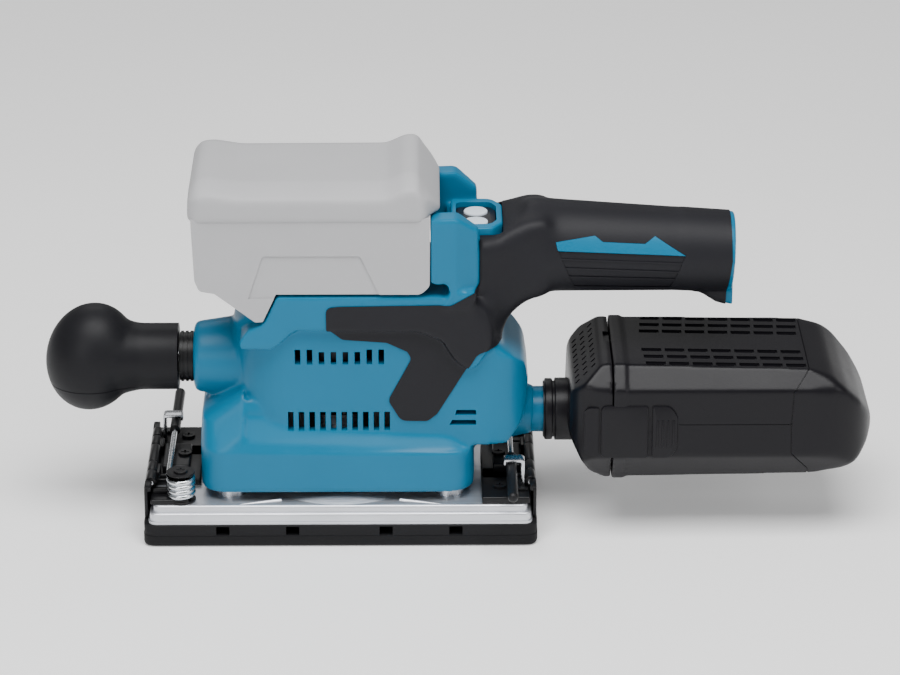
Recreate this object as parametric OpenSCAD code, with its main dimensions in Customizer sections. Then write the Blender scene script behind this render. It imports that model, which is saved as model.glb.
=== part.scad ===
// Cordless clamp-type third-sheet orbital sander with a filter-box dust collector.
// +X points to the dust box, -X to the front knob, +Z up.
// The origin is the centre of the pad's underside.

/* [Pad and base] */
// Length of the sanding pad
pad_l = 185; // [170:1:222]
// Width of the sanding pad
pad_w = 93; // [78:1:112]
// Height of the soft pad layer
foam_h = 5.3; // [4:0.1:7]
// Height of the textured backing layer
backing_h = 5.6; // [4:0.1:7]
// Height of the lower band of the base plate
plate_h = 5.1; // [4:0.1:6.5]
// Height of the upper band of the base plate
band_h = 3.5; // [3:0.1:4.5]
// Width of the notches in the pad's long sides
notch_w = 6; // [4:0.5:8]
// Corner radius of the pad
pad_corner = 6; // [3:0.5:10]
// Radius of the round boss pressed into the base plate
dome_r = 41; // [34:1:42]

/* [Orbit drive] */
// Radius of the sanding orbit
orbit_r = 1.4; // [0.8:0.1:1.7]
// Radius of the motor shaft at the lower bearing
shaft_r = 5; // [4:0.1:6]
// Outer radius of the lower motor bearing
low_bearing_r = 13; // [11:0.5:14]
// Radius of the motor shaft at the upper bearing
tail_r = 4; // [3:0.1:4.8]
// Outer radius of the upper motor bearing
top_bearing_r = 9.5; // [8:0.5:12]
// Radius of the crank pin
pin_r = 5; // [4:0.1:6]
// Outer radius of the pad bearing
pad_bearing_r = 13; // [11:0.5:15]
// Outer radius of the stator
stator_r = 28; // [26:0.5:30]
// Radius of the rotor core
rotor_r = 14; // [11:0.5:15]
// Radius of the cooling fan
fan_r = 29; // [24:0.5:30]

/* [Housing] */
// Length of the skirt over the base
skirt_l = 128.4; // [122:0.2:140]
// Width of the skirt over the base
skirt_w = 77; // [75:0.5:85]
// Height of the skirt's lower edge above the base plate
skirt_gap = 4.5; // [4:0.5:6]
// Height of the skirt's upright wall
skirt_h = 20; // [18:1:22]
// Width of the motor barrel
barrel_w = 72; // [70:0.5:76]
// Wall thickness of the housing
wall = 2.8; // [2:0.1:3.2]
// Height of the battery deck above the pad's underside
deck_z = 121.7; // [118:0.1:124]
// Radius of the front boss
boss_r = 16.6; // [14:0.1:17]
// Height of the front boss's axis
boss_z = 77.7; // [74:0.1:80]
// Radius of the handle at its front
handle_r1 = 21.3; // [19:0.1:22]
// Radius of the handle at its rear
handle_r2 = 18.2; // [17:0.1:19]
// Height of the handle's axis at its front
handle_z = 133.6; // [131:0.1:136]
// Thickness of the soft grip skin
skin = 1.8; // [1.2:0.1:2.4]

/* [Rubber legs and cups] */
// Distance from the orbit's centre to the legs, along the sander
leg_x = 51.3; // [48:0.1:54]
// Distance from the centre line to the legs
leg_y = 26; // [24:0.5:30]
// Radius of a rubber leg
leg_r = 4.6; // [3.5:0.1:5]
// Wall thickness of a leg cup
cup_wall = 0.7; // [0.5:0.1:1]

/* [Front knob] */
// Radius of the knob's ball across its long axis
ball_r = 21.6; // [20:0.1:23]
// Radius of the knob's skirt
knob_skirt_r = 15.8; // [13:0.1:17]
// Radius of the threaded knob stud
stud_r = 4; // [3:0.1:5]

/* [Battery] */
// Width of the battery pack
batt_w = 75; // [72:0.5:76]
// Length of the battery pack's lower shell
batt_l = 109.4; // [106:0.1:110]
// Height of the line between the battery's shells
batt_split = 160; // [158:0.5:161]
// Radius of a battery cell
cell_r = 9.1; // [8.8:0.05:9.2]
// Length of a battery cell
cell_l = 65; // [60:0.5:65]
// Outer half width of the slide rails
rail_y = 30; // [28:0.5:31]

/* [Dust box] */
// Radius of the dust spout
spout_r = 10.85; // [9:0.05:12]
// Height of the spout's axis
spout_z = 50; // [48:0.5:52]
// Outer radius of the nozzle collar
collar_r = 14.85; // [14:0.05:16]
// Half width of the dust box
box_y = 40; // [36:0.5:42]
// Wall thickness of the dust box
box_wall = 2; // [1.5:0.1:2.5]
// Rear end of the dust box
box_end = 250.7; // [240:0.1:260]

/* [Controls] */
// Radius of the two push buttons
button_r = 5.6; // [4.5:0.1:6]
// Distance between the two push buttons
button_pitch = 13.8; // [13:0.1:16]
// Height of the button panel
panel_z = 144; // [143:0.1:145]

/* [Clamps] */
// Radius of the spring wire
wire_r = 1.3; // [1:0.1:1.6]
// Radius of the coil, to the wire's centre
coil_r = 5.6; // [5:0.1:6]
// Turns of the coil
coil_turns = 5; // [4:1:5]
// Height of the lever's arm
arm_z = 32.2; // [31:0.1:33]
// Radius of the vinyl sleeve on the lever
sleeve_r = 2.6; // [2:0.1:2.8]
// Radius of the jaw's hinge pin
hinge_r = 1.2; // [1:0.1:1.5]
// Thickness of the clamp's jaw
jaw_t = 1.6; // [1.2:0.1:2]

/* [Fits] */
// Radial clearance of a running fit
run = 0.05; // [0.02:0.01:0.09]
// Gap between pieces that pass each other
gap = 0.4; // [0.35:0.05:0.6]

/* [Hidden] */
$fn = 64;
eps = 0.01;

// heights of the base
pad_top = foam_h + backing_h;
plate_top = pad_top + plate_h;
base_top = plate_top + band_h;
dome_top = base_top + 2.6;
skirt_z = base_top + skirt_gap;
shoulder_z = skirt_z + skirt_h;

// the pad's centre rests one orbit radius behind the motor's axis
axis_x = -orbit_r;
plate_l = pad_l - 5;
plate_w = pad_w - 2;
band_inset = 2;
notch_x = [-54.6, -21.9, 21.9, 54.6];

// the drive, from the pad upwards
pad_bearing_h = 9;
pin_z = base_top + 1.6;
pad_bearing_z = dome_top - 0.2;
web_z = pad_bearing_z + pad_bearing_h + 0.6;
web_h = 2.4;
weight_z = web_z + web_h;
weight_h = 7;
seat_z = shoulder_z + 1;
seat_h = 4;
low_bearing_z = seat_z + seat_h;
low_bearing_h = 8;
fan_z = low_bearing_z + low_bearing_h + 1;
fan_h = 6;
stator_z = fan_z + fan_h + 2.5;
stator_h = 26;
top_bearing_z = stator_z + stator_h + 5;
top_bearing_h = 7;
barrel_top = top_bearing_z + top_bearing_h + 1.5;
cavity_r = fan_r + 3;

// the battery
batt_front = -67.2;
batt_back = batt_front + batt_l;
batt_bottom = deck_z + 1.3;
batt_lip = 5.3;

// the clamps, drawn at the front and turned for the rear
plate_end = plate_l / 2;
post_x = plate_end - 15.2;
post_y = 36;
hinge_x = plate_end - 0.6;
hinge_z = base_top + 6.3;
hook_y = 27;
coil_pitch = 2 * wire_r * 0.94;
coil_z = arm_z - (coil_turns - 1) * coil_pitch;
holder_z = base_top + 3.5;
sleeve_y0 = 16;
sleeve_y1 = 62;
arm_x = post_x + coil_r;

// the handle
handle_x0 = 92;
handle_x1 = 182;
handle_drop = 3.1;
spout_x0 = 82;
// half the plate's length for the standard pad; a longer pad moves the dust box back
standard_end = 90;
back_shift = max(0, plate_end - standard_end);
spout_x1 = 106 + back_shift;
collar_x0 = 95.8;
case_x0 = 108.1;
seam_x = 127;
box_low = 26;
box_high = 85.7;

// the latches on the dust box's sides
latch_x0 = 121;
latch_x1 = 157.5;
latch_z0 = 41.5;
latch_z1 = 68.5;
latch_t = 1.4;

module slab(points, y0, y1) {
    translate([0, y1, 0]) rotate([90, 0, 0]) linear_extrude(y1 - y0) polygon(points);
}

module rod_x(x0, x1, r, y, z) {
    translate([x0, y, z]) rotate([0, 90, 0]) cylinder(h = x1 - x0, r = r);
}

module rod_y(y0, y1, r, x, z) {
    translate([x, y1, z]) rotate([90, 0, 0]) cylinder(h = y1 - y0, r = r);
}

module rod_z(x, y, r, z0, z1) {
    translate([x, y, z0]) cylinder(h = z1 - z0, r = r);
}

module box(x0, x1, y0, y1, z0, z1) {
    translate([x0, y0, z0]) cube([x1 - x0, y1 - y0, z1 - z0]);
}

module rounded_plan(x0, x1, w, r, z0, z1) {
    translate([0, 0, z0]) linear_extrude(z1 - z0) {
        translate([x0 + r, -w / 2]) square([x1 - x0 - 2 * r, w]);
        translate([x0, -w / 2 + r]) square([x1 - x0, w - 2 * r]);
        for (x = [x0 + r, x1 - r], y = [-w / 2 + r, w / 2 - r]) translate([x, y]) circle(r);
    }
}

module tube_z(x, y, r_out, r_in, z0, z1) {
    difference() {
        rod_z(x, y, r_out, z0, z1);
        rod_z(x, y, r_in, z0 - 1, z1 + 1);
    }
}

module both_ends() {
    children();
    rotate([0, 0, 180]) children();
}

// ---- pad and base plate
module pad_foam() {
    color([0.13, 0.13, 0.15]) rounded_plan(-pad_l / 2, pad_l / 2, pad_w, pad_corner, 0, foam_h);
}

module pad_backing() {
    color([0.16, 0.16, 0.18]) difference() {
        rounded_plan(-pad_l / 2, pad_l / 2, pad_w, pad_corner, foam_h, pad_top);
        for (x = notch_x, s = [-1, 1])
            translate([x - notch_w / 2, s * pad_w / 2 - 8, foam_h + 0.4]) cube([notch_w, 16, 4.4]);
    }
}

module base_plate() {
    color([0.76, 0.77, 0.79]) difference() {
        union() {
            rounded_plan(-plate_l / 2, plate_l / 2, plate_w, 4, pad_top, plate_top);
            rounded_plan(-plate_l / 2 + band_inset, plate_l / 2 - band_inset,
                plate_w - 2 * band_inset, 4, plate_top, base_top);
            rod_z(0, 0, dome_r, base_top - 1, dome_top);
        }
        rod_z(0, 0, pad_bearing_r - 2, pin_z - 1, dome_top + 1);
        for (a = [45:90:315]) rotate([0, 0, a])
            rod_z(pad_bearing_r + 5, 0, 1.5, dome_top - 6, dome_top + 1);
        both_ends() {
            for (y = [-30, 0, 30]) rod_z(post_x, y, 1.6, base_top - 4, base_top + 1);
            rod_z(-post_x, -post_y, 2.5, base_top - 4, base_top + 1);
        }
    }
}

module leg_cup() {
    cup_in = leg_r + orbit_r + gap;
    tube_z(0, 0, cup_in + cup_wall, cup_in, base_top, base_top + 6.5);
}

module leg_cups() {
    color([0.8, 0.8, 0.82]) for (sx = [-1, 1], sy = [-1, 1])
        translate([sx * leg_x, sy * leg_y, 0]) leg_cup();
}

module bearing_retainer() {
    color([0.6, 0.6, 0.63]) difference() {
        rod_z(0, 0, pad_bearing_r + 8, dome_top, pad_bearing_z + pad_bearing_h - 1);
        rod_z(0, 0, pad_bearing_r, dome_top - 1, web_z + 9);
        for (a = [45:90:315]) rotate([0, 0, a])
            rod_z(pad_bearing_r + 5, 0, 1.5, dome_top - 1, web_z);
    }
}

module pad_bearing() {
    color([0.7, 0.7, 0.72]) tube_z(0, 0, pad_bearing_r, pin_r + run, dome_top,
        pad_bearing_z + pad_bearing_h - 1);
}

module screw_down(r, head_r, z, depth, head_h) {
    difference() {
        union() {
            rod_z(0, 0, r, z - depth, z + eps);
            rod_z(0, 0, head_r, z, z + head_h);
        }
        for (a = [0, 90]) rotate([0, 0, a])
            translate([-head_r * 0.6, -0.4, z + head_h - 0.8]) cube([head_r * 1.2, 0.8, 2]);
    }
}

module retainer_screws() {
    top = pad_bearing_z + pad_bearing_h - 1;
    color([0.3, 0.3, 0.32]) for (a = [45:90:315]) rotate([0, 0, a])
        translate([pad_bearing_r + 5, 0, 0]) screw_down(1.5, 2.6, top, top - dome_top + 5, 0.9);
}

// ---- clamps
module holder() {
    // the low strips run in under the skirt's edge
    holder_in = 8.4;
    difference() {
        union() {
            box(-plate_end + 1, -post_x + holder_in, -20, 20, base_top, holder_z);
            box(-plate_end + 1, -post_x + 3.8, -42, -26, base_top, holder_z);
            box(-plate_end + 1, -post_x + holder_in, 8, 42, base_top, holder_z);
            box(-plate_end + 5, -post_x + 2.8, -13, 13, holder_z - eps, holder_z + 4);
            for (s = [-1, 1]) {
                translate([0, s * 15, 0]) rod_y(-5, 5, 2.6, -hinge_x, hinge_z);
                box(-hinge_x, -plate_end + 4, s * 15 - 5, s * 15 + 5, holder_z - eps, hinge_z + 1);
            }
        }
        rod_y(-60, 60, hinge_r, -hinge_x, hinge_z);
        for (y = [-30, 0, 30]) rod_z(-post_x, y, 1.6, base_top - 1, hinge_z + 9);
        box(-post_x - 9, -post_x + 9, -post_y - 9, -post_y + 9, base_top - 1, hinge_z + 20);
        box(-plate_end - 1, -plate_end + 10, hook_y - 4, hook_y + 4, base_top - 1, hinge_z);
        for (x = [-plate_end + 4.5, -plate_end + 9.5])
            box(x, x + 1.2, -60, 60, holder_z - 1, holder_z + eps);
    }
}

module front_holder() {
    color([0.1, 0.1, 0.11]) holder();
}

module rear_holder() {
    color([0.1, 0.1, 0.11]) rotate([0, 0, 180]) holder();
}

module hook() {
    hook_w = 6;
    sheet_t = 1.6;
    wall_x = -arm_x - 6.2;
    y0 = hook_y - hook_w / 2;
    y1 = hook_y + hook_w / 2;
    top = arm_z + 4.8;
    // foot, upright wall, and the catch that the arm lies under
    box(-plate_end + 2, wall_x + sheet_t - 0.1, y0, y1, base_top, base_top + 1.4);
    box(wall_x, wall_x + sheet_t, y0, y1, base_top, top);
    box(wall_x, -arm_x + 3.6, y0, y1, top - sheet_t, top);
}

module front_hook() {
    color([0.75, 0.75, 0.77]) hook();
}

module rear_hook() {
    color([0.75, 0.75, 0.77]) rotate([0, 0, 180]) hook();
}

module holder_screws() {
    color([0.15, 0.15, 0.16]) both_ends() translate([-post_x, 0, 0]) {
        screw_down(1.6, 3.2, holder_z + 4, 11, 1.2);
        translate([0, 30, 0]) screw_down(1.6, 3.2, holder_z, 7, 1.2);
    }
}

module coil_posts() {
    post_top = arm_z + wire_r + gap;
    color([0.2, 0.2, 0.21]) both_ends() translate([-post_x, -post_y, 0]) {
        rod_z(0, 0, 2.5, base_top - 4, post_top + eps);
        screw_down(2.5, coil_r + wire_r - 0.2, post_top, 0, 1);
        rod_z(0, 0, coil_r + wire_r, base_top, coil_z - wire_r - gap);
    }
}

module hinge_pins() {
    color([0.7, 0.7, 0.72]) both_ends() rod_y(-31, 31, hinge_r, -hinge_x, hinge_z);
}

module jaw() {
    blade_x = -hinge_x - 2.6;
    difference() {
        union() {
            for (s = [[-30, -20.4], [-9.6, 9.6], [20.4, 30]])
                rod_y(s[0], s[1], 2.6, -hinge_x, hinge_z);
            box(blade_x, blade_x + jaw_t, -39, 39, pad_top + 0.3, hinge_z);
        }
        rod_y(-60, 60, hinge_r + run, -hinge_x, hinge_z);
        for (s = [-1, 1])
            box(blade_x - 1, -hinge_x + 9, s * 15 - 5.4, s * 15 + 5.4, hinge_z - 3.2, hinge_z + 9);
        box(blade_x + jaw_t, -hinge_x + 9, -40, 40, hinge_z - 30, hinge_z - 2.2);
    }
}

module front_jaw() {
    color([0.08, 0.08, 0.09]) jaw();
}

module rear_jaw() {
    color([0.08, 0.08, 0.09]) rotate([0, 0, 180]) jaw();
}

module lever() {
    // the coil's turns lie closed on each other, so they are one sleeve
    translate([-post_x, -post_y, 0])
        tube_z(0, 0, coil_r + wire_r, coil_r - wire_r, coil_z - wire_r, arm_z + wire_r);
    rod_y(-post_y, sleeve_y1 - 3, wire_r, -arm_x, arm_z);
}

module lever_sleeve() {
    difference() {
        union() {
            rod_y(sleeve_y0, sleeve_y1, sleeve_r, -arm_x, arm_z);
            translate([-arm_x, sleeve_y1, arm_z]) sphere(sleeve_r);
        }
        rod_y(sleeve_y0 - 1, sleeve_y1 - 3, wire_r, -arm_x, arm_z);
    }
}

module front_lever() {
    color([0.78, 0.79, 0.8]) lever();
}

module rear_lever() {
    color([0.78, 0.79, 0.8]) rotate([0, 0, 180]) lever();
}

module front_lever_sleeve() {
    color([0.1, 0.1, 0.11]) lever_sleeve();
}

module rear_lever_sleeve() {
    color([0.1, 0.1, 0.11]) rotate([0, 0, 180]) lever_sleeve();
}

// ---- orbit drive and motor
module motor_shaft() {
    color([0.72, 0.72, 0.75]) union() {
        rod_z(0, 0, pin_r, pin_z, web_z + eps);
        rod_z(axis_x, 0, pin_r + orbit_r + 1, web_z, weight_z);
        rod_z(axis_x, 0, shaft_r, weight_z - eps, stator_z - 1);
        rod_z(axis_x, 0, tail_r, stator_z - 1 - eps, top_bearing_z + top_bearing_h);
    }
}

module counterweight() {
    color([0.5, 0.48, 0.45]) difference() {
        intersection() {
            rod_z(axis_x, 0, skirt_w / 2 - wall - 6, weight_z, weight_z + weight_h);
            union() {
                rod_z(axis_x, 0, shaft_r + 5, weight_z, weight_z + weight_h);
                box(-200, axis_x, -100, 100, weight_z, weight_z + weight_h);
            }
        }
        rod_z(axis_x, 0, shaft_r, weight_z - 1, weight_z + weight_h + 1);
    }
}

module cooling_fan() {
    blades = 13;
    color([0.12, 0.12, 0.13]) difference() {
        union() {
            rod_z(axis_x, 0, shaft_r + 3, fan_z, fan_z + fan_h);
            rod_z(axis_x, 0, fan_r, fan_z, fan_z + 1.5);
            for (i = [0:blades - 1]) translate([axis_x, 0, 0]) rotate([0, 0, i * 360 / blades])
                box(shaft_r + 2, fan_r - 0.6, -0.6, 0.6, fan_z + 1, fan_z + fan_h);
        }
        rod_z(axis_x, 0, shaft_r, fan_z - 1, fan_z + fan_h + 1);
    }
}

module rotor_core() {
    color([0.45, 0.46, 0.48])
        tube_z(axis_x, 0, rotor_r, tail_r, stator_z + 1, stator_z + stator_h - 1);
}

module magnets() {
    color([0.25, 0.25, 0.27]) translate([axis_x, 0, 0]) difference() {
        tube_z(0, 0, rotor_r + 1.6, rotor_r, stator_z + 1, stator_z + stator_h - 1);
        for (a = [0, 90]) rotate([0, 0, a])
            box(-40, 40, -0.5, 0.5, stator_z, stator_z + stator_h);
    }
}

module stator_core() {
    teeth = 6;
    bore_r = rotor_r + 2.1;
    color([0.5, 0.51, 0.54]) translate([axis_x, 0, 0]) union() {
        tube_z(0, 0, stator_r, stator_r - 4, stator_z, stator_z + stator_h);
        for (i = [0:teeth - 1]) rotate([0, 0, i * 360 / teeth]) difference() {
            box(rotor_r, stator_r - 3.9, -2.5, 2.5, stator_z, stator_z + stator_h);
            rod_z(0, 0, bore_r, stator_z - 1, stator_z + stator_h + 1);
        }
    }
}

module windings() {
    teeth = 6;
    color([0.72, 0.42, 0.2]) translate([axis_x, 0, 0]) for (i = [0:teeth - 1])
        rotate([0, 0, i * 360 / teeth]) difference() {
            box(rotor_r + 4, stator_r - 4.5, -4.6, 4.6, stator_z - 1.5, stator_z + stator_h + 2);
            box(0, stator_r, -2.6, 2.6, stator_z - 0.1, stator_z + stator_h + 0.1);
        }
}

module lower_bearing() {
    color([0.7, 0.7, 0.72]) tube_z(axis_x, 0, low_bearing_r, shaft_r + run, low_bearing_z,
        low_bearing_z + low_bearing_h);
}

module upper_bearing() {
    color([0.7, 0.7, 0.72]) tube_z(axis_x, 0, top_bearing_r, tail_r + run, top_bearing_z,
        top_bearing_z + top_bearing_h);
}

module motor_seat() {
    color([0.6, 0.6, 0.62]) difference() {
        union() {
            rounded_plan(axis_x - leg_x - 9, axis_x + leg_x + 9, 2 * leg_y + 14, 9,
                seat_z, seat_z + seat_h);
            rod_z(axis_x, 0, low_bearing_r + 3, seat_z, low_bearing_z + low_bearing_h);
        }
        rod_z(axis_x, 0, low_bearing_r, low_bearing_z, low_bearing_z + low_bearing_h + 1);
        rod_z(axis_x, 0, shaft_r + 3, seat_z - 1, low_bearing_z + 1);
        for (sx = [-1, 1], sy = [-1, 1])
            rod_z(axis_x + sx * leg_x, sy * leg_y, 3, seat_z - 1, seat_z + seat_h + 1);
    }
}

module rubber_legs() {
    color([0.1, 0.1, 0.11]) for (sx = [-1, 1], sy = [-1, 1])
        translate([axis_x + sx * leg_x, sy * leg_y, 0]) {
            rod_z(0, 0, leg_r, base_top + gap, seat_z);
            rod_z(0, 0, leg_r + 3, seat_z - 5, seat_z);
            rod_z(0, 0, 3, seat_z - 1, seat_z + seat_h);
        }
}

// ---- housing
module skirt_outer(inset) {
    x0 = axis_x - skirt_l / 2 + inset;
    x1 = axis_x + skirt_l / 2 - inset;
    w = skirt_w - 2 * inset;
    rounded_plan(x0, x1, w, 16 - inset, skirt_z - (inset > 0 ? 1 : 0), shoulder_z);
    hull() {
        rounded_plan(x0, x1, w, 16 - inset, shoulder_z - eps, shoulder_z);
        rounded_plan(x0 + 6, x1 - 6, w - 6, 14, shoulder_z + 11 - inset, shoulder_z + 12 - inset);
    }
}

module body_outer() {
    front = axis_x - 50.6;
    // motor barrel and battery deck, seen from the side
    intersection() {
        slab([[front, shoulder_z], [front, boss_z + 19], [-46, boss_z + 26.5],
            [-35, deck_z - 13.9], [-28.4, deck_z], [46.5, deck_z], [62, deck_z - 2],
            [74, deck_z - 18], [87.5, boss_z + 5], [88, boss_z - 8], [84, shoulder_z + 8],
            [70, shoulder_z]], -barrel_w / 2, barrel_w / 2);
        rounded_plan(front, 88.5, barrel_w, 20, shoulder_z - 1, deck_z + 1);
    }
}

module neck_outer() {
    slab([[48, deck_z - 20], [48, panel_z + 5.4], [76, panel_z + 5.4], [88, handle_z + handle_r1],
        [96, handle_z + handle_r1], [96, handle_z - handle_r1], [86, handle_z - handle_r1 - 3],
        [80, handle_z - handle_r1 - 10], [78, deck_z - 38]], -22, 22);
}

module handle_outer(grow) {
    translate([handle_x0, 0, handle_z]) rotate([0, 90 + 2, 0])
        cylinder(h = handle_x1 - handle_x0, r1 = handle_r1 - skin + grow,
            r2 = handle_r2 - skin + grow);
}

module guards() {
    for (s = [-1, 1]) scale([1, s, 1])
        slab([[batt_back + gap + 0.2, deck_z - 1], [batt_back + gap + 0.2, batt_split - 4],
            [46.8, batt_split - 0.6], [54.6, batt_split - 0.6], [64, batt_split - 7],
            [64.5, deck_z + 6], [52, deck_z - 3]], 22, 36.5);
}

module housing_volume() {
    skirt_outer(0);
    body_outer();
    neck_outer();
    handle_outer(0);
    guards();
    rod_x(-69, -40, boss_r, 0, boss_z);
}

module housing_cavities() {
    skirt_outer(wall);
    rod_z(axis_x, 0, cavity_r, shoulder_z - 5, barrel_top);
    box(axis_x + cavity_r + 4, 78, -25, 25, shoulder_z + 8, deck_z - 24);
    box(-26, 44, -28, 28, barrel_top + 2, deck_z - wall);
    box(52, 74, -19, 19, deck_z - 26, panel_z + 1);
    rod_x(70, handle_x1 + 1, 15, 0, handle_z - 1);
    rod_x(-50, -20, 8, 0, boss_z);
}

module housing_fittings() {
    // pockets and bores that hold the pieces inside
    difference() {
        box(axis_x - cavity_r - 1, axis_x + cavity_r + 1, -cavity_r - 1, cavity_r + 1,
            top_bearing_z - 1, barrel_top + 2 - eps);
        rod_z(axis_x, 0, top_bearing_r, top_bearing_z - 2, top_bearing_z + top_bearing_h);
        rod_z(axis_x, 0, tail_r + 2, top_bearing_z - 2, barrel_top);
    }
    for (z = [stator_z + 3, stator_z + stator_h - 6]) difference() {
        rod_z(axis_x, 0, cavity_r + 1, z, z + 3);
        rod_z(axis_x, 0, stator_r, z - 1, z + 4);
    }
}

module motor_vents() {
    for (i = [0:7]) box(axis_x - 19 + i * 5.5, axis_x - 16.5 + i * 5.5, -60, 60,
        stator_z + 20, stator_z + 26.5);
    for (i = [0:9]) box(axis_x - 22.5 + i * 5, axis_x - 20.1 + i * 5, -60, 60,
        fan_z - 6, fan_z + 2.6);
}

module housing_shell() {
    difference() {
        housing_volume();
        difference() {
            housing_cavities();
            housing_fittings();
        }
        motor_vents();
        // battery deck opening for the terminals, and the slot under the battery's rear
        box(10.6, 42.4, -17.4, 17.4, deck_z - wall - 1, deck_z + 1);
        // control panel window
        box(51.5, 76.5, -20.5, 20.5, panel_z, panel_z + 9);
        // clearance for the dust spout, the knob stud and the end cap
        rod_x(spout_x0, 95, spout_r, 0, spout_z);
        rod_x(60, spout_x0 + 1, spout_r - 3, 0, spout_z);
        rod_x(-70, -39, stud_r, 0, boss_z);
        rod_x(-70, -66, 11.5, 0, boss_z);
        rounded_plan(axis_x - leg_x - 9, axis_x + leg_x + 9, 2 * leg_y + 14, 9,
            seat_z, seat_z + seat_h);
        rod_z(axis_x, 0, low_bearing_r + 3, seat_z, low_bearing_z + low_bearing_h);
        screw_holes();
    }
}

screw_x = [-58, -44, 56, 70, 84, 120, 166];
screw_r = 1.8;
screw_end = 8;
screw_seat = 8;
screw_heights = [boss_z + 11, boss_z - 17, shoulder_z + 26, deck_z + 8, boss_z, handle_z, handle_z];

module screw_holes() {
    for (i = [0:6]) {
        rod_y(-screw_end, 60, screw_r, screw_x[i], screw_heights[i]);
        rod_y(screw_seat, 60, 3.6, screw_x[i], screw_heights[i]);
    }
}

module half(side) {
    translate([-300, side > 0 ? 0 : -200, 0]) cube([600, 200, 300]);
}

module housing_left() {
    color([0.03, 0.51, 0.64]) intersection() {
        housing_shell();
        half(-1);
    }
}

module housing_right() {
    color([0.03, 0.51, 0.64]) intersection() {
        housing_shell();
        half(1);
    }
}

module housing_screws() {
    color([0.2, 0.2, 0.22]) for (i = [0:6]) {
        rod_y(-screw_end, screw_seat + eps, screw_r, screw_x[i], screw_heights[i]);
        rod_y(screw_seat, screw_seat + 2.5, 3.4, screw_x[i], screw_heights[i]);
    }
}

module grip_outer() {
    handle_outer(skin);
    slab([[79, deck_z - 24], [64, deck_z - 28], [60, deck_z - 33], [46, boss_z - 16],
        [40, boss_z - 19.5], [29, boss_z - 19], [24, boss_z - 11], [33, boss_z + 12],
        [31, boss_z + 15], [21, boss_z + 20], [0.6, boss_z + 21.5], [-5.8, boss_z + 27],
        [-5, deck_z - 6], [-1.5, deck_z - 5], [51, deck_z - 4.2], [64.6, deck_z + 5],
        [64.6, deck_z + 9], [84, deck_z + 9]], -barrel_w / 2 - skin, barrel_w / 2 + skin);
    slab([[64.8, deck_z - 20], [64.8, panel_z + 4.2], [76.6, panel_z + 5.6],
        [88, handle_z + handle_r1 + 0.6], [97, handle_z + handle_r1 + 0.6],
        [97, handle_z - handle_r1 - 1], [86, handle_z - handle_r1 - 4.5],
        [81.5, handle_z - handle_r1 - 10], [79, deck_z - 38]], -22 - skin, 22 + skin);
}

module grip(side) {
    difference() {
        intersection() {
            grip_outer();
            half(side);
        }
        housing_volume();
        box(axis_x + cavity_r + 4, 78, -25, 25, shoulder_z + 8, deck_z - 24);
        box(50, 76.6, -21, 21, panel_z - 0.5, panel_z + 20);
        rod_x(70, handle_x1 + 1, 15, 0, handle_z - 1);
        screw_holes();
        box(-20, 100, -60, 60, 0, boss_z - 24);
    }
}

module grip_left() {
    color([0.11, 0.11, 0.13]) grip(-1);
}

module grip_right() {
    color([0.11, 0.11, 0.13]) grip(1);
}

module end_cap() {
    top = handle_z - handle_drop;
    lobe_r = 8;
    color([0.04, 0.54, 0.67]) difference() {
        intersection() {
            slab([[handle_x1 - 6.8, 111.6], [handle_x1 + 1, 101.6], [185.5, 100.7],
                [189.4, 101.9], [191.3, 107.3], [191.6, 133], [188.9, 143], [187.8, 150],
                [handle_x1 - 0.4, 150]], -handle_r2, handle_r2);
            // a disc over the handle's end, with a lobe below it
            hull() {
                rod_x(handle_x1 - 9, 195, handle_r2 - 0.4, 0, top);
                rod_x(handle_x1 - 9, 195, lobe_r, 0, 108.8);
            }
        }
        translate([handle_x0, 0, handle_z]) rotate([0, 92, 0])
            cylinder(h = handle_x1 - handle_x0, r = handle_r2 + 2);
        translate([0, 0, top]) rod_x(handle_x1 - 4, 186, 13, 0, 0);
    }
}

module panel_bezel() {
    color([0.04, 0.5, 0.62]) difference() {
        box(52, 76, -20, 20, panel_z, panel_z + 5.4);
        box(54.5, 73, -14, 14, panel_z - 1, panel_z + 9);
    }
}

module panel_face() {
    color([0.06, 0.06, 0.07]) difference() {
        box(54.5, 73, -14, 14, panel_z, panel_z + 3.4);
        for (s = [-1, 1])
            rod_z(63.7, s * button_pitch / 2, button_r + gap, panel_z - 1, panel_z + 9);
    }
}

module button(side) {
    y = side * button_pitch / 2;
    rod_z(63.7, y, button_r, panel_z + 0.2, panel_z + 4.2);
    rod_z(63.7, y, 1.6, panel_z - 2.4, panel_z + 1);
}

module power_button() {
    color([0.78, 0.8, 0.82]) button(1);
}

module speed_button() {
    color([0.78, 0.8, 0.82]) button(-1);
}

module switch_board() {
    color([0.06, 0.3, 0.16]) difference() {
        box(53, 73.5, -18, 18, panel_z - 6.6, panel_z - 5);
        rod_z(55, 15, 1.2, panel_z - 9, panel_z);
    }
}

module controller() {
    color([0.2, 0.2, 0.22]) difference() {
        box(-22, 40, -26, 26, barrel_top + 2.4, deck_z - wall - 4.4);
        for (i = [0:6]) box(-19 + i * 8, -15 + i * 8, -23, 23, deck_z - wall - 6, deck_z);
    }
}

module terminal_block() {
    color([0.08, 0.08, 0.09]) difference() {
        box(11, 42, -17, 17, deck_z - wall - 4.4, deck_z + 4);
        for (s = [-1, 1]) box(14, 36, s * 10 - 0.6, s * 10 + 0.6, deck_z - 2, deck_z + 9);
    }
}

module terminals() {
    color([0.8, 0.65, 0.35]) for (s = [-1, 1])
        box(14, 36, s * 10 - 0.5, s * 10 + 0.5, deck_z - 2, deck_z + 8);
}

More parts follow.
